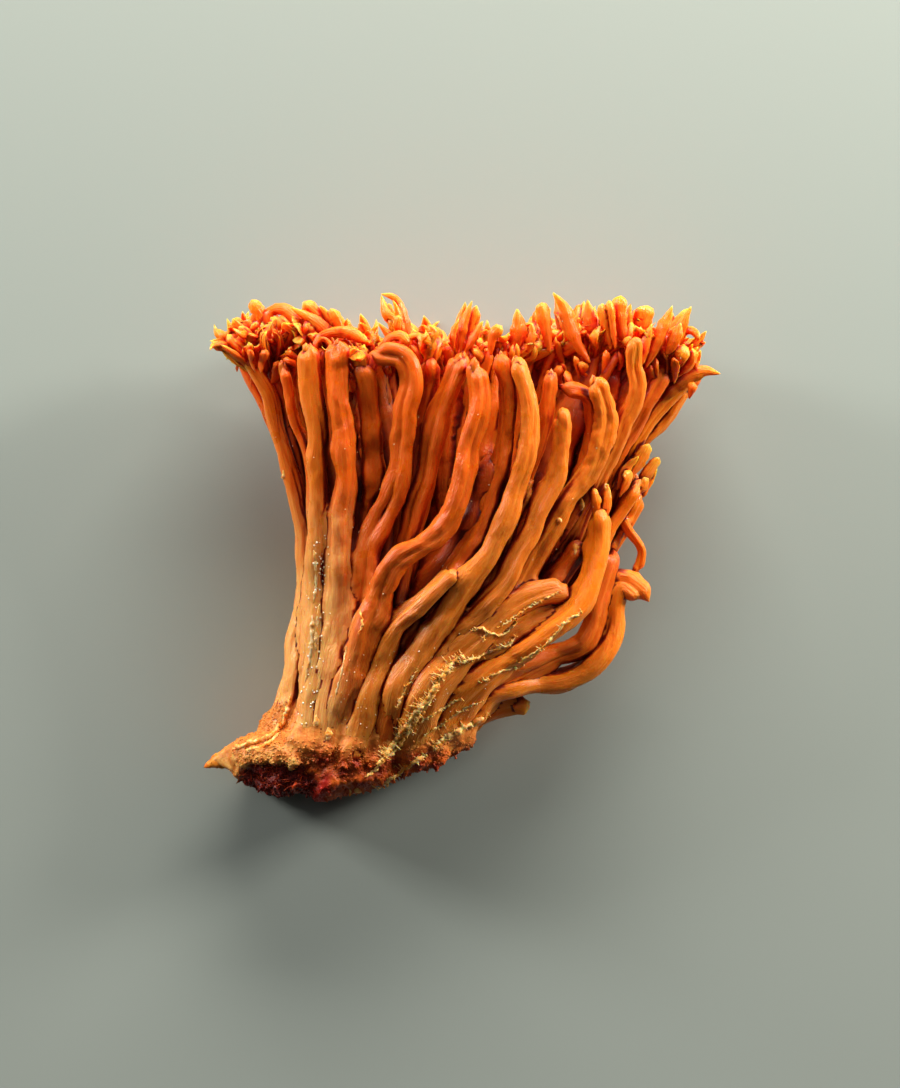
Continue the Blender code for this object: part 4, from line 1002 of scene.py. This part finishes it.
def flesh_material(name, main, pale, glow, roughness=0.38):
    """main is the flesh, pale its fibres, glow the colour towards the crown."""
    made = bpy.data.materials.new(name)
    made.use_nodes = True
    tree = made.node_tree
    shader = tree.nodes["Principled BSDF"]
    fibres = place_group(tree, FIBRES)
    join(tree, attribute(tree, "grain").outputs["Vector"], fibres.inputs["Grain"])
    coordinates = add_node(tree, "ShaderNodeTexCoord")
    axes = add_node(tree, "ShaderNodeSeparateXYZ")
    join(tree, coordinates.outputs["Object"], axes.inputs[0])
    blotch = noise(tree, coordinates.outputs["Object"], 130.0, 3.0)
    height = maths(tree, "ADD", axes.outputs["Y"], maths(tree, "MULTIPLY", maths(tree, "SUBTRACT", blotch, 0.5), 0.03))
    upward = spread(tree, height, 0.006, 0.036)
    base = mix(tree, upward, (*main, 1), (*glow, 1))
    downward = spread(tree, height, 0.004, -0.028)
    streaks = maths(tree, "MULTIPLY", fibres.outputs["Streaks"],
                    maths(tree, "ADD", 0.15, maths(tree, "MULTIPLY", downward, 0.5)))
    base = mix(tree, streaks, base, (*pale, 1))
    aside = maths(tree, "ADD", axes.outputs["X"], maths(tree, "MULTIPLY", maths(tree, "SUBTRACT", blotch, 0.5), 0.008))
    washed = maths(tree, "MULTIPLY", spread(tree, aside, -0.0165, -0.0225), spread(tree, height, 0.014, -0.012))
    washed = maths(tree, "MULTIPLY", washed, maths(tree, "ADD", 0.35, fibres.outputs["Streaks"]))
    base = mix(tree, washed, base, (0.84, 0.42, 0.12, 1))
    tip = attribute(tree, "tip").outputs["Fac"]
    frill = spread(tree, tip, 1.35, 2.0)
    base = mix(tree, spread(tree, tip, 1.0, 1.04), base, (0.86, 0.12, 0.003, 1))
    base = mix(tree, frill, base, (1.0, 0.29, 0.012, 1))
    base = mix(tree, spread(tree, tip, 1.8, 2.0), base, (1.0, 0.38, 0.03, 1))
    # Painted highlight: the colour turns paler where the skin turns away from the view, a painted rim sheen.
    rim = add_node(tree, "ShaderNodeLayerWeight")
    rim.inputs["Blend"].default_value = 0.28
    base = mix(tree, maths(tree, "MULTIPLY", rim.outputs["Facing"], 0.3), base, (*pale, 1))
    # Painted shade and glow in the nooks, redder and brighter towards the crown, a little weaker on the frills.
    deep = place_group(tree, NOOK_SHADE)
    join(tree, base, deep.inputs["Colour"])
    join(tree, spread(tree, height, 0.020, 0.034), deep.inputs["Upwards"])
    calm = maths(tree, "SUBTRACT", 1.0, maths(tree, "MULTIPLY", frill, 0.25))
    join(tree, maths(tree, "MULTIPLY", attribute(tree, "nook").outputs["Fac"], calm), deep.inputs["Nook"])
    join(tree, deep.outputs["Colour"], shader.inputs["Base Color"])
    wet = spread(tree, noise(tree, coordinates.outputs["Object"], 420.0, 2.0), 0.5, 0.72)
    rough_value = maths(tree, "SUBTRACT", roughness, maths(tree, "MULTIPLY", wet, 0.2))
    join(tree, rough_value, shader.inputs["Roughness"])
    bump = add_node(tree, "ShaderNodeBump")
    bump.inputs["Strength"].default_value = 0.8
    bump.inputs["Distance"].default_value = 0.18 * MM
    join(tree, fibres.outputs["Height"], bump.inputs["Height"])
    join(tree, bump.outputs["Normal"], shader.inputs["Normal"])
    join(tree, maths(tree, "ADD", 0.5, maths(tree, "MULTIPLY", frill, 0.4)), shader.inputs["Subsurface Weight"])
    shader.inputs["Subsurface Radius"].default_value = (1.0, 0.28, 0.05)
    shader.inputs["Subsurface Scale"].default_value = 1.6 * MM
    shader.inputs["Specular IOR Level"].default_value = 0.35
    shader.inputs["Coat Weight"].default_value = 0.06
    shader.inputs["Coat Roughness"].default_value = 0.2
    return made


FLESH = {
    "orange_flesh": flesh_material("orange flesh", (0.60, 0.090, 0.002), (0.80, 0.24, 0.025), (0.88, 0.13, 0.002)),
    "golden_flesh": flesh_material("golden flesh", (0.84, 0.18, 0.003), (0.94, 0.34, 0.035), (0.96, 0.21, 0.003)),
    "pale_flesh": flesh_material("pale flesh", (0.66, 0.15, 0.005), (0.86, 0.38, 0.07), (0.90, 0.18, 0.003)),
    "shaded_flesh": flesh_material("shaded flesh", (0.46, 0.055, 0.001), (0.56, 0.10, 0.004), (0.60, 0.055, 0.001)),
}


# %% The crust of the foot
def crust_material():
    made = bpy.data.materials.new("foot crust")
    made.use_nodes = True
    tree = made.node_tree
    shader = tree.nodes["Principled BSDF"]
    coordinates = add_node(tree, "ShaderNodeTexCoord")
    spot = coordinates.outputs["Object"]
    axes = add_node(tree, "ShaderNodeSeparateXYZ")
    join(tree, spot, axes.inputs[0])
    ragged = maths(tree, "MULTIPLY", maths(tree, "SUBTRACT", noise(tree, spot, 260.0, 4.0), 0.5), 0.009)
    height = maths(tree, "ADD", axes.outputs["Y"], ragged)
    left = maths(tree, "ADD", axes.outputs["X"], ragged)
    cave = mix(tree, spread(tree, noise(tree, spot, 700.0, 3.0), 0.4, 0.65), (0.08, 0.0015, 0.0003, 1), (0.26, 0.008, 0.0005, 1))
    rust = mix(tree, spread(tree, noise(tree, spot, 420.0, 4.0), 0.38, 0.66), (0.30, 0.020, 0.001, 1), (0.66, 0.12, 0.005, 1))
    cream = mix(tree, spread(tree, noise(tree, spot, 600.0, 4.0), 0.38, 0.62), (0.50, 0.12, 0.007, 1), (0.76, 0.36, 0.08, 1))
    fibres = place_group(tree, FIBRES)
    join(tree, attribute(tree, "grain").outputs["Vector"], fibres.inputs["Grain"])
    flesh = mix(tree, fibres.outputs["Streaks"], (0.56, 0.11, 0.004, 1), (0.78, 0.32, 0.055, 1))
    colour = mix(tree, spread(tree, left, -0.0285, -0.0245), cream, rust)
    colour = mix(tree, spread(tree, height, -0.0350, -0.0310), colour, flesh)
    colour = mix(tree, spread(tree, attribute(tree, "tip").outputs["Fac"], 0.2, 0.6), colour, cave)
    patch = maths(tree, "MULTIPLY", spread(tree, left, -0.0270, -0.0254), spread(tree, left, -0.0212, -0.0228))
    patch = maths(tree, "MULTIPLY", patch, spread(tree, height, -0.0372, -0.0390))
    colour = mix(tree, patch, colour, (0.40, 0.010, 0.0005, 1))
    # Painted shade in the nooks of the foot.
    deep = place_group(tree, NOOK_SHADE)
    join(tree, colour, deep.inputs["Colour"])
    join(tree, attribute(tree, "nook").outputs["Fac"], deep.inputs["Nook"])
    join(tree, deep.outputs["Colour"], shader.inputs["Base Color"])
    bump = add_node(tree, "ShaderNodeBump")
    bump.inputs["Strength"].default_value = 0.7
    bump.inputs["Distance"].default_value = 0.25 * MM
    join(tree, noise(tree, spot, 1500.0, 4.0), bump.inputs["Height"])
    join(tree, bump.outputs["Normal"], shader.inputs["Normal"])
    shader.inputs["Roughness"].default_value = 0.5
    shader.inputs["Specular IOR Level"].default_value = 0.35
    shader.inputs["Subsurface Weight"].default_value = 0.3
    shader.inputs["Subsurface Radius"].default_value = (1.0, 0.3, 0.08)
    shader.inputs["Subsurface Scale"].default_value = 1.0 * MM
    return made


def small_material(name, first, second, roughness, scattering, coat=0.0):
    """A finish for small pieces: two colours that vary from spot to spot."""
    made = bpy.data.materials.new(name)
    made.use_nodes = True
    tree = made.node_tree
    shader = tree.nodes["Principled BSDF"]
    spot = add_node(tree, "ShaderNodeTexCoord").outputs["Object"]
    share = spread(tree, noise(tree, spot, 900.0, 3.0), 0.38, 0.62)
    join(tree, mix(tree, share, (*first, 1), (*second, 1)), shader.inputs["Base Color"])
    shader.inputs["Roughness"].default_value = roughness
    shader.inputs["Coat Weight"].default_value = coat
    shader.inputs["Specular IOR Level"].default_value = 0.5 if coat else 0.25
    shader.inputs["Subsurface Weight"].default_value = scattering
    shader.inputs["Subsurface Radius"].default_value = (1.0, 0.4, 0.12)
    shader.inputs["Subsurface Scale"].default_value = 0.8 * MM
    return made


CRUST = crust_material()
TORN_CREAM = small_material("torn cream edge", (0.82, 0.27, 0.025), (0.94, 0.56, 0.20), 0.5, 0.6)
CAVE_FIBRE = small_material("cave fibre", (0.10, 0.003, 0.0005), (0.55, 0.05, 0.002), 0.45, 0.1)
CAVE_CRUST = small_material("cave crust", (0.06, 0.001, 0.0002), (0.24, 0.008, 0.0005), 0.6, 0.1)
# Pale specks: real wet drops whose pale colour is a painted highlight.
SPECK_HIGHLIGHT = small_material("pale speck highlight", (0.92, 0.55, 0.20), (0.95, 0.80, 0.55), 0.35, 0.2, 0.3)
THORN_FLESH = small_material("thorn flesh", (0.66, 0.14, 0.008), (0.84, 0.30, 0.03), 0.4, 0.3)
# Wet ridges and wet beads: real wet streaks and drops whose pale colour is a painted highlight.
WET_FLESH_HIGHLIGHT = small_material("wet flesh highlight", (0.80, 0.36, 0.08), (0.92, 0.66, 0.36), 0.25, 0.4, 0.5)
WET_BEAD_HIGHLIGHT = small_material("wet bead highlight", (0.88, 0.60, 0.32), (0.95, 0.86, 0.70), 0.12, 0.2, 0.8)

# %% Give every piece its mesh, its finish and its place
SLOT_OF = {part["node"]: part["material_slot"] for part in frame["record"]["subparts"]}
for name, start, stop in zip(names, starts, starts[1:]):
    flesh = PIECES[name]
    values = {"grain": np.vstack(flesh.grain), "nook": nooks[start:stop], "tip": np.concatenate(flesh.tip)}
    piece = bpy.data.objects.new(name + "_flesh", make_mesh(name + "_flesh", spots[start:stop], flesh.faces, values))
    bpy.context.scene.collection.objects.link(piece)
    slot = SLOT_OF[name]
    piece.data.materials.append(CRUST if name == "foot" else FLESH[slot])
    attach(piece, "root")
    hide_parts(name)
print(len(names), "pieces of flesh,", sum(len(PIECES[name].faces) for name in names), "faces")


# %% [markdown]
# What lies on the skin comes last. Torn cream edges run where flesh was ripped: each is a thin ragged
# tube, laid on the skin by looking straight down from above. Crumbs, pale specks and wet beads are
# scattered by a tree of Geometry Nodes, denser where a mask says so, because hand-placing hundreds would
# show. The specks and beads are real wet drops, and their pale colour is a painted highlight.


# %% Torn edges and fibres
SKIN = BVHTree.FromPolygons(spots.tolist(), all_faces)


def height_at(x, y):
    """z of the skin seen from above, or None beside the bunch."""
    hit = SKIN.ray_cast(Vector((x, y, 60.0)), Vector((0, 0, -1)))
    return hit[0].z if hit[0] else None


def lay_on_skin(way, step, over):
    steps, line = smooth_line([(*spot, 0.0) for spot in way], step)
    heights = [height_at(x, y) for x, y, _ in line]
    known = [z for z in heights if z is not None]
    if not known:
        return steps, None
    line[:, 2] = [(z if z is not None else np.mean(known)) + over for z in heights]
    for _ in range(2):
        line[1:-1, 2] = np.maximum(line[1:-1, 2] - 0.3, (line[:-2, 2] + line[1:-1, 2] + line[2:, 2]) / 3)
    return steps, line


# Each has the points of its line, seen from above, and its half width
TORN = (
    (((-13, -35), (-11, -32), (-9.5, -30), (-7.5, -27), (-5, -24), (-3, -21), (-1, -18.5), (0, -17.4)), 0.62),
    (((-10.6, -33.4), (-8.4, -30), (-6.2, -26.6), (-4.2, -23.8)), 0.42),
    (((-0.6, -19), (3, -17.8), (5, -17), (7.7, -16), (9, -14.7)), 0.34),
    (((3.2, -22.4), (6, -20.5), (10, -19.5), (10.6, -18.6)), 0.26),
    (((9.4, -18.9), (12.5, -17), (15, -15), (17.5, -12), (20, -10.6)), 0.28),
    (((2.2, -13.4), (3.4, -13.1), (4.2, -14), (3.6, -15.4)), 0.24),
    (((4.6, -13.6), (6.6, -14.2), (8.4, -13), (9.6, -11)), 0.22),
    (((6.4, -13), (10, -10.4), (13.6, -8.4), (16.4, -7)), 0.2),
    (((-9, -31), (-5.8, -28.2), (-2.4, -26.2), (0.5, -24.7)), 0.24),
    (((-6, -31), (-3, -29), (0.6, -26.6), (3.6, -25.4)), 0.22),
    (((-4.4, -33), (-2.8, -31.4), (-1.4, -30.6), (2, -29), (4.3, -27.8)), 0.62),
    (((-16, -38), (-14, -36.4), (-12.4, -34.6), (-10, -33)), 0.4),
    (((-13.6, -40), (-11.4, -38), (-8.4, -36), (-5.6, -34)), 0.5),
    (((-38, -33.4), (-35, -32.4), (-31.5, -31), (-29.4, -28.6), (-28.2, -24.5)), 0.5),
    (((-36, -33.6), (-32.4, -32.6), (-30.2, -30.6)), 0.5),
    (((-16.6, -10), (-16.2, -12.4), (-16.8, -14.2)), 0.26),
    (((-10.6, -27), (-9, -23), (-7, -19.6)), 0.22),
)
# Wet ridges on the left, in the same form: real wet streaks whose pale colour is a painted highlight
WET_RIDGE_HIGHLIGHTS = (
    (((-24.3, 0), (-23.9, -5), (-24.4, -9)), 0.2),
    (((-24.6, -11), (-24.8, -17), (-25.8, -22)), 0.24),
    (((-23.4, -9), (-23.9, -13), (-24.1, -17)), 0.2),
    (((-18.8, -16), (-19.6, -20), (-20.9, -25)), 0.14),
)
# Small pads and flakes: place, half length along y, half width
PADS = (((-24, -28.5), 1.0, 0.45), ((-22, -30.7), 1.1, 0.55), ((-28.3, -36.3), 0.45, 0.75), ((24, 10.3), 0.7, 0.4),
        ((20, 7.4), 1.0, 0.5), ((16.2, 4.6), 0.6, 0.6), ((19, 0), 0.9, 0.6), ((-29.5, 12.3), 0.8, 0.4),
        ((-17.2, -40.2), 0.4, 1.1), ((-12.3, -39.2), 0.6, 0.4), ((-18.5, -40.6), 0.6, 0.4))
TORN_SIDES = 9


def ragged_tube(flesh, draw, steps, line, size, flat=0.6):
    angles = 2 * math.pi * np.arange(TORN_SIDES) / TORN_SIDES
    jagged = 1 + abs(draw.normal(0, 0.8, (len(steps), TORN_SIDES))) * np.clip(np.sin(angles), 0, 1)[None]
    swell = 1 + 0.5 * waves(draw, 0.8, 4)(steps)
    ends = np.sqrt(np.clip(np.minimum(steps, steps[-1] - steps) / 1.2, 0.02, 1))
    radii = size * (swell * ends)[:, None] * np.clip(jagged, 0.35, 2.2)
    flesh.sweep(line, steps, radii, steps / steps[-1], flat=flat)


COMBED_WAY = np.array([-0.62, 0.62, 0.0])
COMBED_FROM = -14.0


def comb(flesh, draw, line, size):
    """Short torn fibres that stand along a line and are combed to one side."""
    count = int(len(line) * 5 * size)
    for start in line[draw.integers(0, len(line), count)]:
        reach = size * draw.uniform(0.8, 2.6)
        way = COMBED_WAY * draw.choice((1, 1, 1, -0.6)) + draw.normal(0, 0.28, 3)
        start = start + draw.normal(0, 0.4 * size, 3) * (1, 1, 0.2)
        middle = start + 0.5 * reach * way + np.array([0, 0, 0.25 * reach])
        end = start + reach * way + np.array([0, 0, draw.uniform(-0.1, 0.3) * reach])
        steps, hair = smooth_line([start, middle, end], 0.3)
        radii = draw.uniform(0.08, 0.19) * np.linspace(1, 0.25, len(steps))
        flesh.sweep(hair, steps, np.repeat(radii[:, None], 5, axis=1), np.full(len(steps), draw.uniform(0, 1)))


torn = Flesh()
draw = np.random.default_rng(12)
for way, size in TORN:
    steps, line = lay_on_skin(way, 0.24, 0.08)
    if line is not None:
        line += draw.normal(0, 0.10, line.shape)
        ragged_tube(torn, draw, steps, line, 0.62 * size, flat=1.0)
        if line[0, 0] > COMBED_FROM:
            comb(torn, draw, line, size)
for (x, y), long, wide in PADS:
    steps, line = lay_on_skin(((x, y - long), (x + 0.1, y), (x, y + long)), 0.2, 0.02)
    if line is not None:
        ragged_tube(torn, draw, steps, line, wide, flat=0.45)

wet_ridge_highlights = Flesh()
for way, size in WET_RIDGE_HIGHLIGHTS:
    steps, line = lay_on_skin(way, 0.3, 0.0)
    if line is not None:
        ragged_tube(wet_ridge_highlights, draw, steps, line + draw.normal(0, 0.05, line.shape), size, flat=0.5)

# The thorn at the foot's left end: a thin curved spike, drawn over the photo
THORN = ((-34.5, -33.6, 10.5), (-38, -34.4, 9.6), (-41, -35.6, 8.8), (-43.0, -36.6, 8.4))
thorn = Flesh()
add_petal(thorn, draw, THORN, 3.4, 2.6, True, step=0.3)

FIBRE_COUNT = 260
fibres = Flesh()
draw = np.random.default_rng(5)
for _ in range(FIBRE_COUNT):
    x, y = draw.uniform(-38, -23.5), draw.uniform(-41.5, -35)
    z = height_at(x, y)
    if z is None or not in_cave(np.array([[x, y, z]]), 0.0)[0] > 0.3:
        continue
    turn, reach = draw.uniform(0, 2 * math.pi), draw.uniform(0.8, 2.6)
    way = np.array([math.cos(turn), math.sin(turn), draw.uniform(-0.2, 0.7)])
    start = np.array([x, y, z - 0.2])
    middle = start + 0.5 * reach * way + draw.normal(0, 0.35, 3)
    end = start + reach * way + draw.normal(0, 0.4, 3)
    if height_at(end[0], end[1]) is None:
        continue
    steps, line = smooth_line([start, middle, end], 0.3)
    radii = np.full((len(steps), 4), draw.uniform(0.05, 0.11)) * np.linspace(1, 0.4, len(steps))[:, None]
    fibres.sweep(line, steps, radii, np.full(len(steps), draw.uniform(0, 1)))
ring = [(-27 + 0.7 * math.cos(a), -39.7 + 0.7 * math.sin(a)) for a in np.linspace(0.5, 6.2, 9)]
steps, line = lay_on_skin(ring, 0.2, 0.35)
if line is not None:
    ragged_tube(fibres, draw, steps, line, 0.2, flat=1.0)
print("torn edges:", torn.count, "points, fibres:", fibres.count)


# %% Crumbs and specks, scattered by nodes
def scatter_tree():
    tree = bpy.data.node_groups.new("scatter crumbs", "GeometryNodeTree")
    tree.interface.new_socket("Geometry", in_out="INPUT", socket_type="NodeSocketGeometry")
    for name in ("Density", "Smallest", "Largest", "Flatness"):
        tree.interface.new_socket(name, in_out="INPUT", socket_type="NodeSocketFloat")
    tree.interface.new_socket("Seed", in_out="INPUT", socket_type="NodeSocketInt")
    tree.interface.new_socket("Finish", in_out="INPUT", socket_type="NodeSocketMaterial")
    tree.interface.new_socket("Geometry", in_out="OUTPUT", socket_type="NodeSocketGeometry")
    given, result = add_node(tree, "NodeGroupInput"), add_node(tree, "NodeGroupOutput")
    where = add_node(tree, "GeometryNodeDistributePointsOnFaces")
    mask = add_node(tree, "GeometryNodeInputNamedAttribute", data_type="FLOAT")
    mask.inputs["Name"].default_value = "mask"
    join(tree, given.outputs["Geometry"], where.inputs["Mesh"])
    join(tree, given.outputs["Seed"], where.inputs["Seed"])
    join(tree, maths(tree, "MULTIPLY", mask.outputs["Attribute"], given.outputs["Density"]), where.inputs["Density"])
    grain = add_node(tree, "GeometryNodeMeshIcoSphere")
    grain.inputs["Radius"].default_value = 1.0
    grain.inputs["Subdivisions"].default_value = 1
    chance = add_node(tree, "FunctionNodeRandomValue", data_type="FLOAT")
    join(tree, given.outputs["Smallest"], chance.inputs[2])
    join(tree, given.outputs["Largest"], chance.inputs[3])
    low = add_node(tree, "ShaderNodeCombineXYZ")
    join(tree, chance.outputs[1], low.inputs["X"])
    join(tree, chance.outputs[1], low.inputs["Y"])
    join(tree, maths(tree, "MULTIPLY", chance.outputs[1], given.outputs["Flatness"]), low.inputs["Z"])
    placed = add_node(tree, "GeometryNodeInstanceOnPoints")
    join(tree, where.outputs["Points"], placed.inputs["Points"])
    join(tree, where.outputs["Rotation"], placed.inputs["Rotation"])
    join(tree, grain.outputs["Mesh"], placed.inputs["Instance"])
    join(tree, low.outputs[0], placed.inputs["Scale"])
    real = add_node(tree, "GeometryNodeRealizeInstances")
    join(tree, placed.outputs[0], real.inputs[0])
    spot, away = add_node(tree, "GeometryNodeInputPosition"), add_node(tree, "ShaderNodeTexNoise")
    away.inputs["Scale"].default_value = 3200.0
    join(tree, spot.outputs[0], away.inputs["Vector"])
    shift = vector_maths(tree, "SUBTRACT", away.outputs["Color"], (0.5, 0.5, 0.5))
    moved = add_node(tree, "GeometryNodeSetPosition")
    join(tree, real.outputs[0], moved.inputs["Geometry"])
    join(tree, vector_maths(tree, "SCALE", shift, maths(tree, "MULTIPLY", given.outputs["Largest"], 0.8)),
         moved.inputs["Offset"])
    finish = add_node(tree, "GeometryNodeSetMaterial")
    join(tree, moved.outputs[0], finish.inputs["Geometry"])
    join(tree, given.outputs["Finish"], finish.inputs["Material"])
    join(tree, finish.outputs[0], result.inputs["Geometry"])
    return tree


SCATTER = scatter_tree()


def region(spots, left, right, low, high, soft=2.0):
    """1 inside a rectangle seen from above, falling to 0 over a soft edge, in mm."""
    x, y = spots[:, 0], spots[:, 1]
    inside = np.clip((x - left) / soft, 0, 1) * np.clip((right - x) / soft, 0, 1)
    return inside * np.clip((y - low) / soft, 0, 1) * np.clip((high - y) / soft, 0, 1)


def scattered(name, mask, density, smallest, largest, flatness, finish, seed):
    """Grains on the skin where the mask is more than 0; density is in grains for each square mm."""
    used = [face for face in all_faces if mask[face[0]] > 0.02]
    ground = bpy.data.objects.new(name, make_mesh(name, spots, used, {"mask": mask}))
    bpy.context.scene.collection.objects.link(ground)
    modifier = ground.modifiers.new("scatter", "NODES")
    modifier.node_group = SCATTER
    values = {"Density": density / MM ** 2, "Smallest": smallest * MM, "Largest": largest * MM, "Flatness": flatness,
              "Seed": seed, "Finish": finish}
    for key, value in values.items():
        set_input(modifier, key, value)
    mesh = grown(ground)
    bpy.data.objects.remove(ground)
    mesh.shade_smooth()
    return bpy.data.objects.new(name, mesh)


def inside_box(obj):
    """Keep a piece's points inside the solids' box."""
    places = np.empty(len(obj.data.vertices) * 3, np.float32)
    obj.data.vertices.foreach_get("co", places)
    places = np.clip(places.reshape(-1, 3), (LOW + inside) * MM, (HIGH - inside) * MM)
    obj.data.vertices.foreach_set("co", places.astype(np.float32).ravel())


def settle(obj):
    inside_box(obj)
    bpy.context.scene.collection.objects.link(obj)
    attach(obj, "root")


def plain_flesh(name, flesh, material):
    obj = bpy.data.objects.new(name, make_mesh(name, np.vstack(flesh.points), flesh.faces,
                                               {"tip": np.concatenate(flesh.tip)}))
    obj.data.materials.append(material)
    settle(obj)


plain_flesh("torn_edges", torn, TORN_CREAM)
plain_flesh("wet_ridge_highlights", wet_ridge_highlights, WET_FLESH_HIGHLIGHT)
plain_flesh("thorn", thorn, THORN_FLESH)
plain_flesh("cave_fibres", fibres, CAVE_FIBRE)
is_foot = np.concatenate([np.full(PIECES[name].count, float(name == "foot")) for name in names])
cave = in_cave(spots, 0.0)
upward = is_foot * (1 - cave) * np.clip(spots[:, 2] / 6, 0, 1)
slope = upward * crusty(spots) * np.clip((spots[:, 1] + 39) / 3, 0.15, 1)
crumbs = scattered("foot_crumbs", slope, 5.0, 0.08, 0.26, 0.8, CRUST, 3)
settle(crumbs)
grains = scattered("cave_grains", is_foot * cave, 4.0, 0.08, 0.24, 0.9, CAVE_CRUST, 4)
settle(grains)
front_skin = (spots[:, 2] > 14) * (1 - is_foot)
# Wet beads along the left stems: real drops whose pale colour is a painted highlight.
wet_highlight_line = front_skin * np.clip(1 - abs(spots[:, 0] + 23.5 + 0.1 * np.clip(-spots[:, 1] - 8, 0, 40)) / 2.2, 0, 1)
wet_highlight_line *= region(spots, -60, 60, -31, 4, 3.0)
bead_highlights = scattered("wet_bead_highlights", wet_highlight_line, 0.9, 0.09, 0.26, 0.6, WET_BEAD_HIGHLIGHT, 8)
settle(bead_highlights)
# Pale specks on the lower front stems: real drops whose pale colour is a painted highlight.
band = front_skin * (region(spots, -22, -13, -32, -14) + 0.5 * region(spots, -14, 6, -32, -14) + 0.04)
speck_highlights = scattered("pale_speck_highlights", band, 0.22, 0.05, 0.14, 0.8, SPECK_HIGHLIGHT, 9)
settle(speck_highlights)
for piece in (crumbs, grains, bead_highlights, speck_highlights):
    print(piece.name, len(piece.data.polygons), "faces")
triangles = {obj.name: sum(len(face.vertices) - 2 for face in obj.data.polygons)
             for obj in bpy.context.scene.objects if obj.type == "MESH" and obj.name not in frame["nodes"]}
print("triangles:", sum(triangles.values()), "in all, most in", max(triangles.items(), key=lambda item: item[1]))


# %% Floor, light and camera
def plain_material(name, colour, roughness):
    made = bpy.data.materials.new(name)
    made.use_nodes = True
    shader = made.node_tree.nodes["Principled BSDF"]
    shader.inputs["Base Color"].default_value = (*colour, 1)
    shader.inputs["Roughness"].default_value = roughness
    return made


floor_mesh = bpy.data.meshes.new("floor")
FLOOR_HALF = 3.0
floor_mesh.from_pydata([(x * FLOOR_HALF, y * FLOOR_HALF, 0) for x, y in ((-1, -1), (1, -1), (1, 1), (-1, 1))], [],
                       [(0, 1, 2, 3)])
floor = bpy.data.objects.new("floor", floor_mesh)
floor_mesh.materials.append(plain_material("pale sage floor", (0.295, 0.335, 0.305), 0.9))
bpy.context.scene.collection.objects.link(floor)


def area_light(name, spot, aim, size, power, colour):
    data = bpy.data.lights.new(name, "AREA")
    data.shape = "RECTANGLE"
    data.size, data.size_y = size
    data.energy = power
    data.color = colour
    lamp = bpy.data.objects.new(name, data)
    lamp.location = spot
    way = np.array(aim) - np.array(spot)
    lamp.rotation_euler = Vector(way).to_track_quat("-Z", "Y").to_euler()
    bpy.context.scene.collection.objects.link(lamp)
    return lamp


area_light("light over the crown", (0.05, 0.42, 0.20), (0, 0.03, 0.015), (0.40, 0.16), 4.0, (1.0, 0.95, 0.88))
area_light("rim from the right", (0.48, 0.24, 0.13), (0, 0.01, 0.015), (0.12, 0.3), 5.2, (1.0, 0.95, 0.88))
area_light("rim from the left", (-0.50, 0.24, 0.12), (0, 0.01, 0.015), (0.12, 0.3), 3.8, (1.0, 0.97, 0.93))
area_light("fill from above", (-0.15, 0.15, 0.9), (0, 0, 0), (0.3, 0.3), 0.45, (1.0, 1.0, 1.0))

world = bpy.data.worlds.new("soft grey")
world.use_nodes = True
world.node_tree.nodes["Background"].inputs["Color"].default_value = (0.75, 0.80, 0.78, 1)
world.node_tree.nodes["Background"].inputs["Strength"].default_value = 0.04
bpy.context.scene.world = world
bpy.context.scene.view_settings.view_transform = "Standard"

PHOTO = (900, 1088)
PIXELS_PER_MM = 6.0
PHOTO_ORIGIN = (460.5, 549.0)
camera_data = bpy.data.cameras.new("camera")
camera = bpy.data.objects.new("camera", camera_data)
CAMERA_HEIGHT = 1.2
SEEN_HEIGHT = 0.015
middle_x = (PHOTO[0] / 2 - PHOTO_ORIGIN[0]) / PIXELS_PER_MM
middle_y = (PHOTO_ORIGIN[1] - PHOTO[1] / 2) / PIXELS_PER_MM
camera.location = (middle_x * MM, middle_y * MM, CAMERA_HEIGHT)
camera_data.sensor_fit = "VERTICAL"
camera_data.sensor_height = 24.0
camera_data.lens = 24.0 * (CAMERA_HEIGHT - SEEN_HEIGHT) / (PHOTO[1] / PIXELS_PER_MM * MM)
camera_data.clip_start = 0.05
bpy.context.scene.collection.objects.link(camera)
bpy.context.scene.camera = camera
print("lens", round(camera_data.lens, 1), "mm")
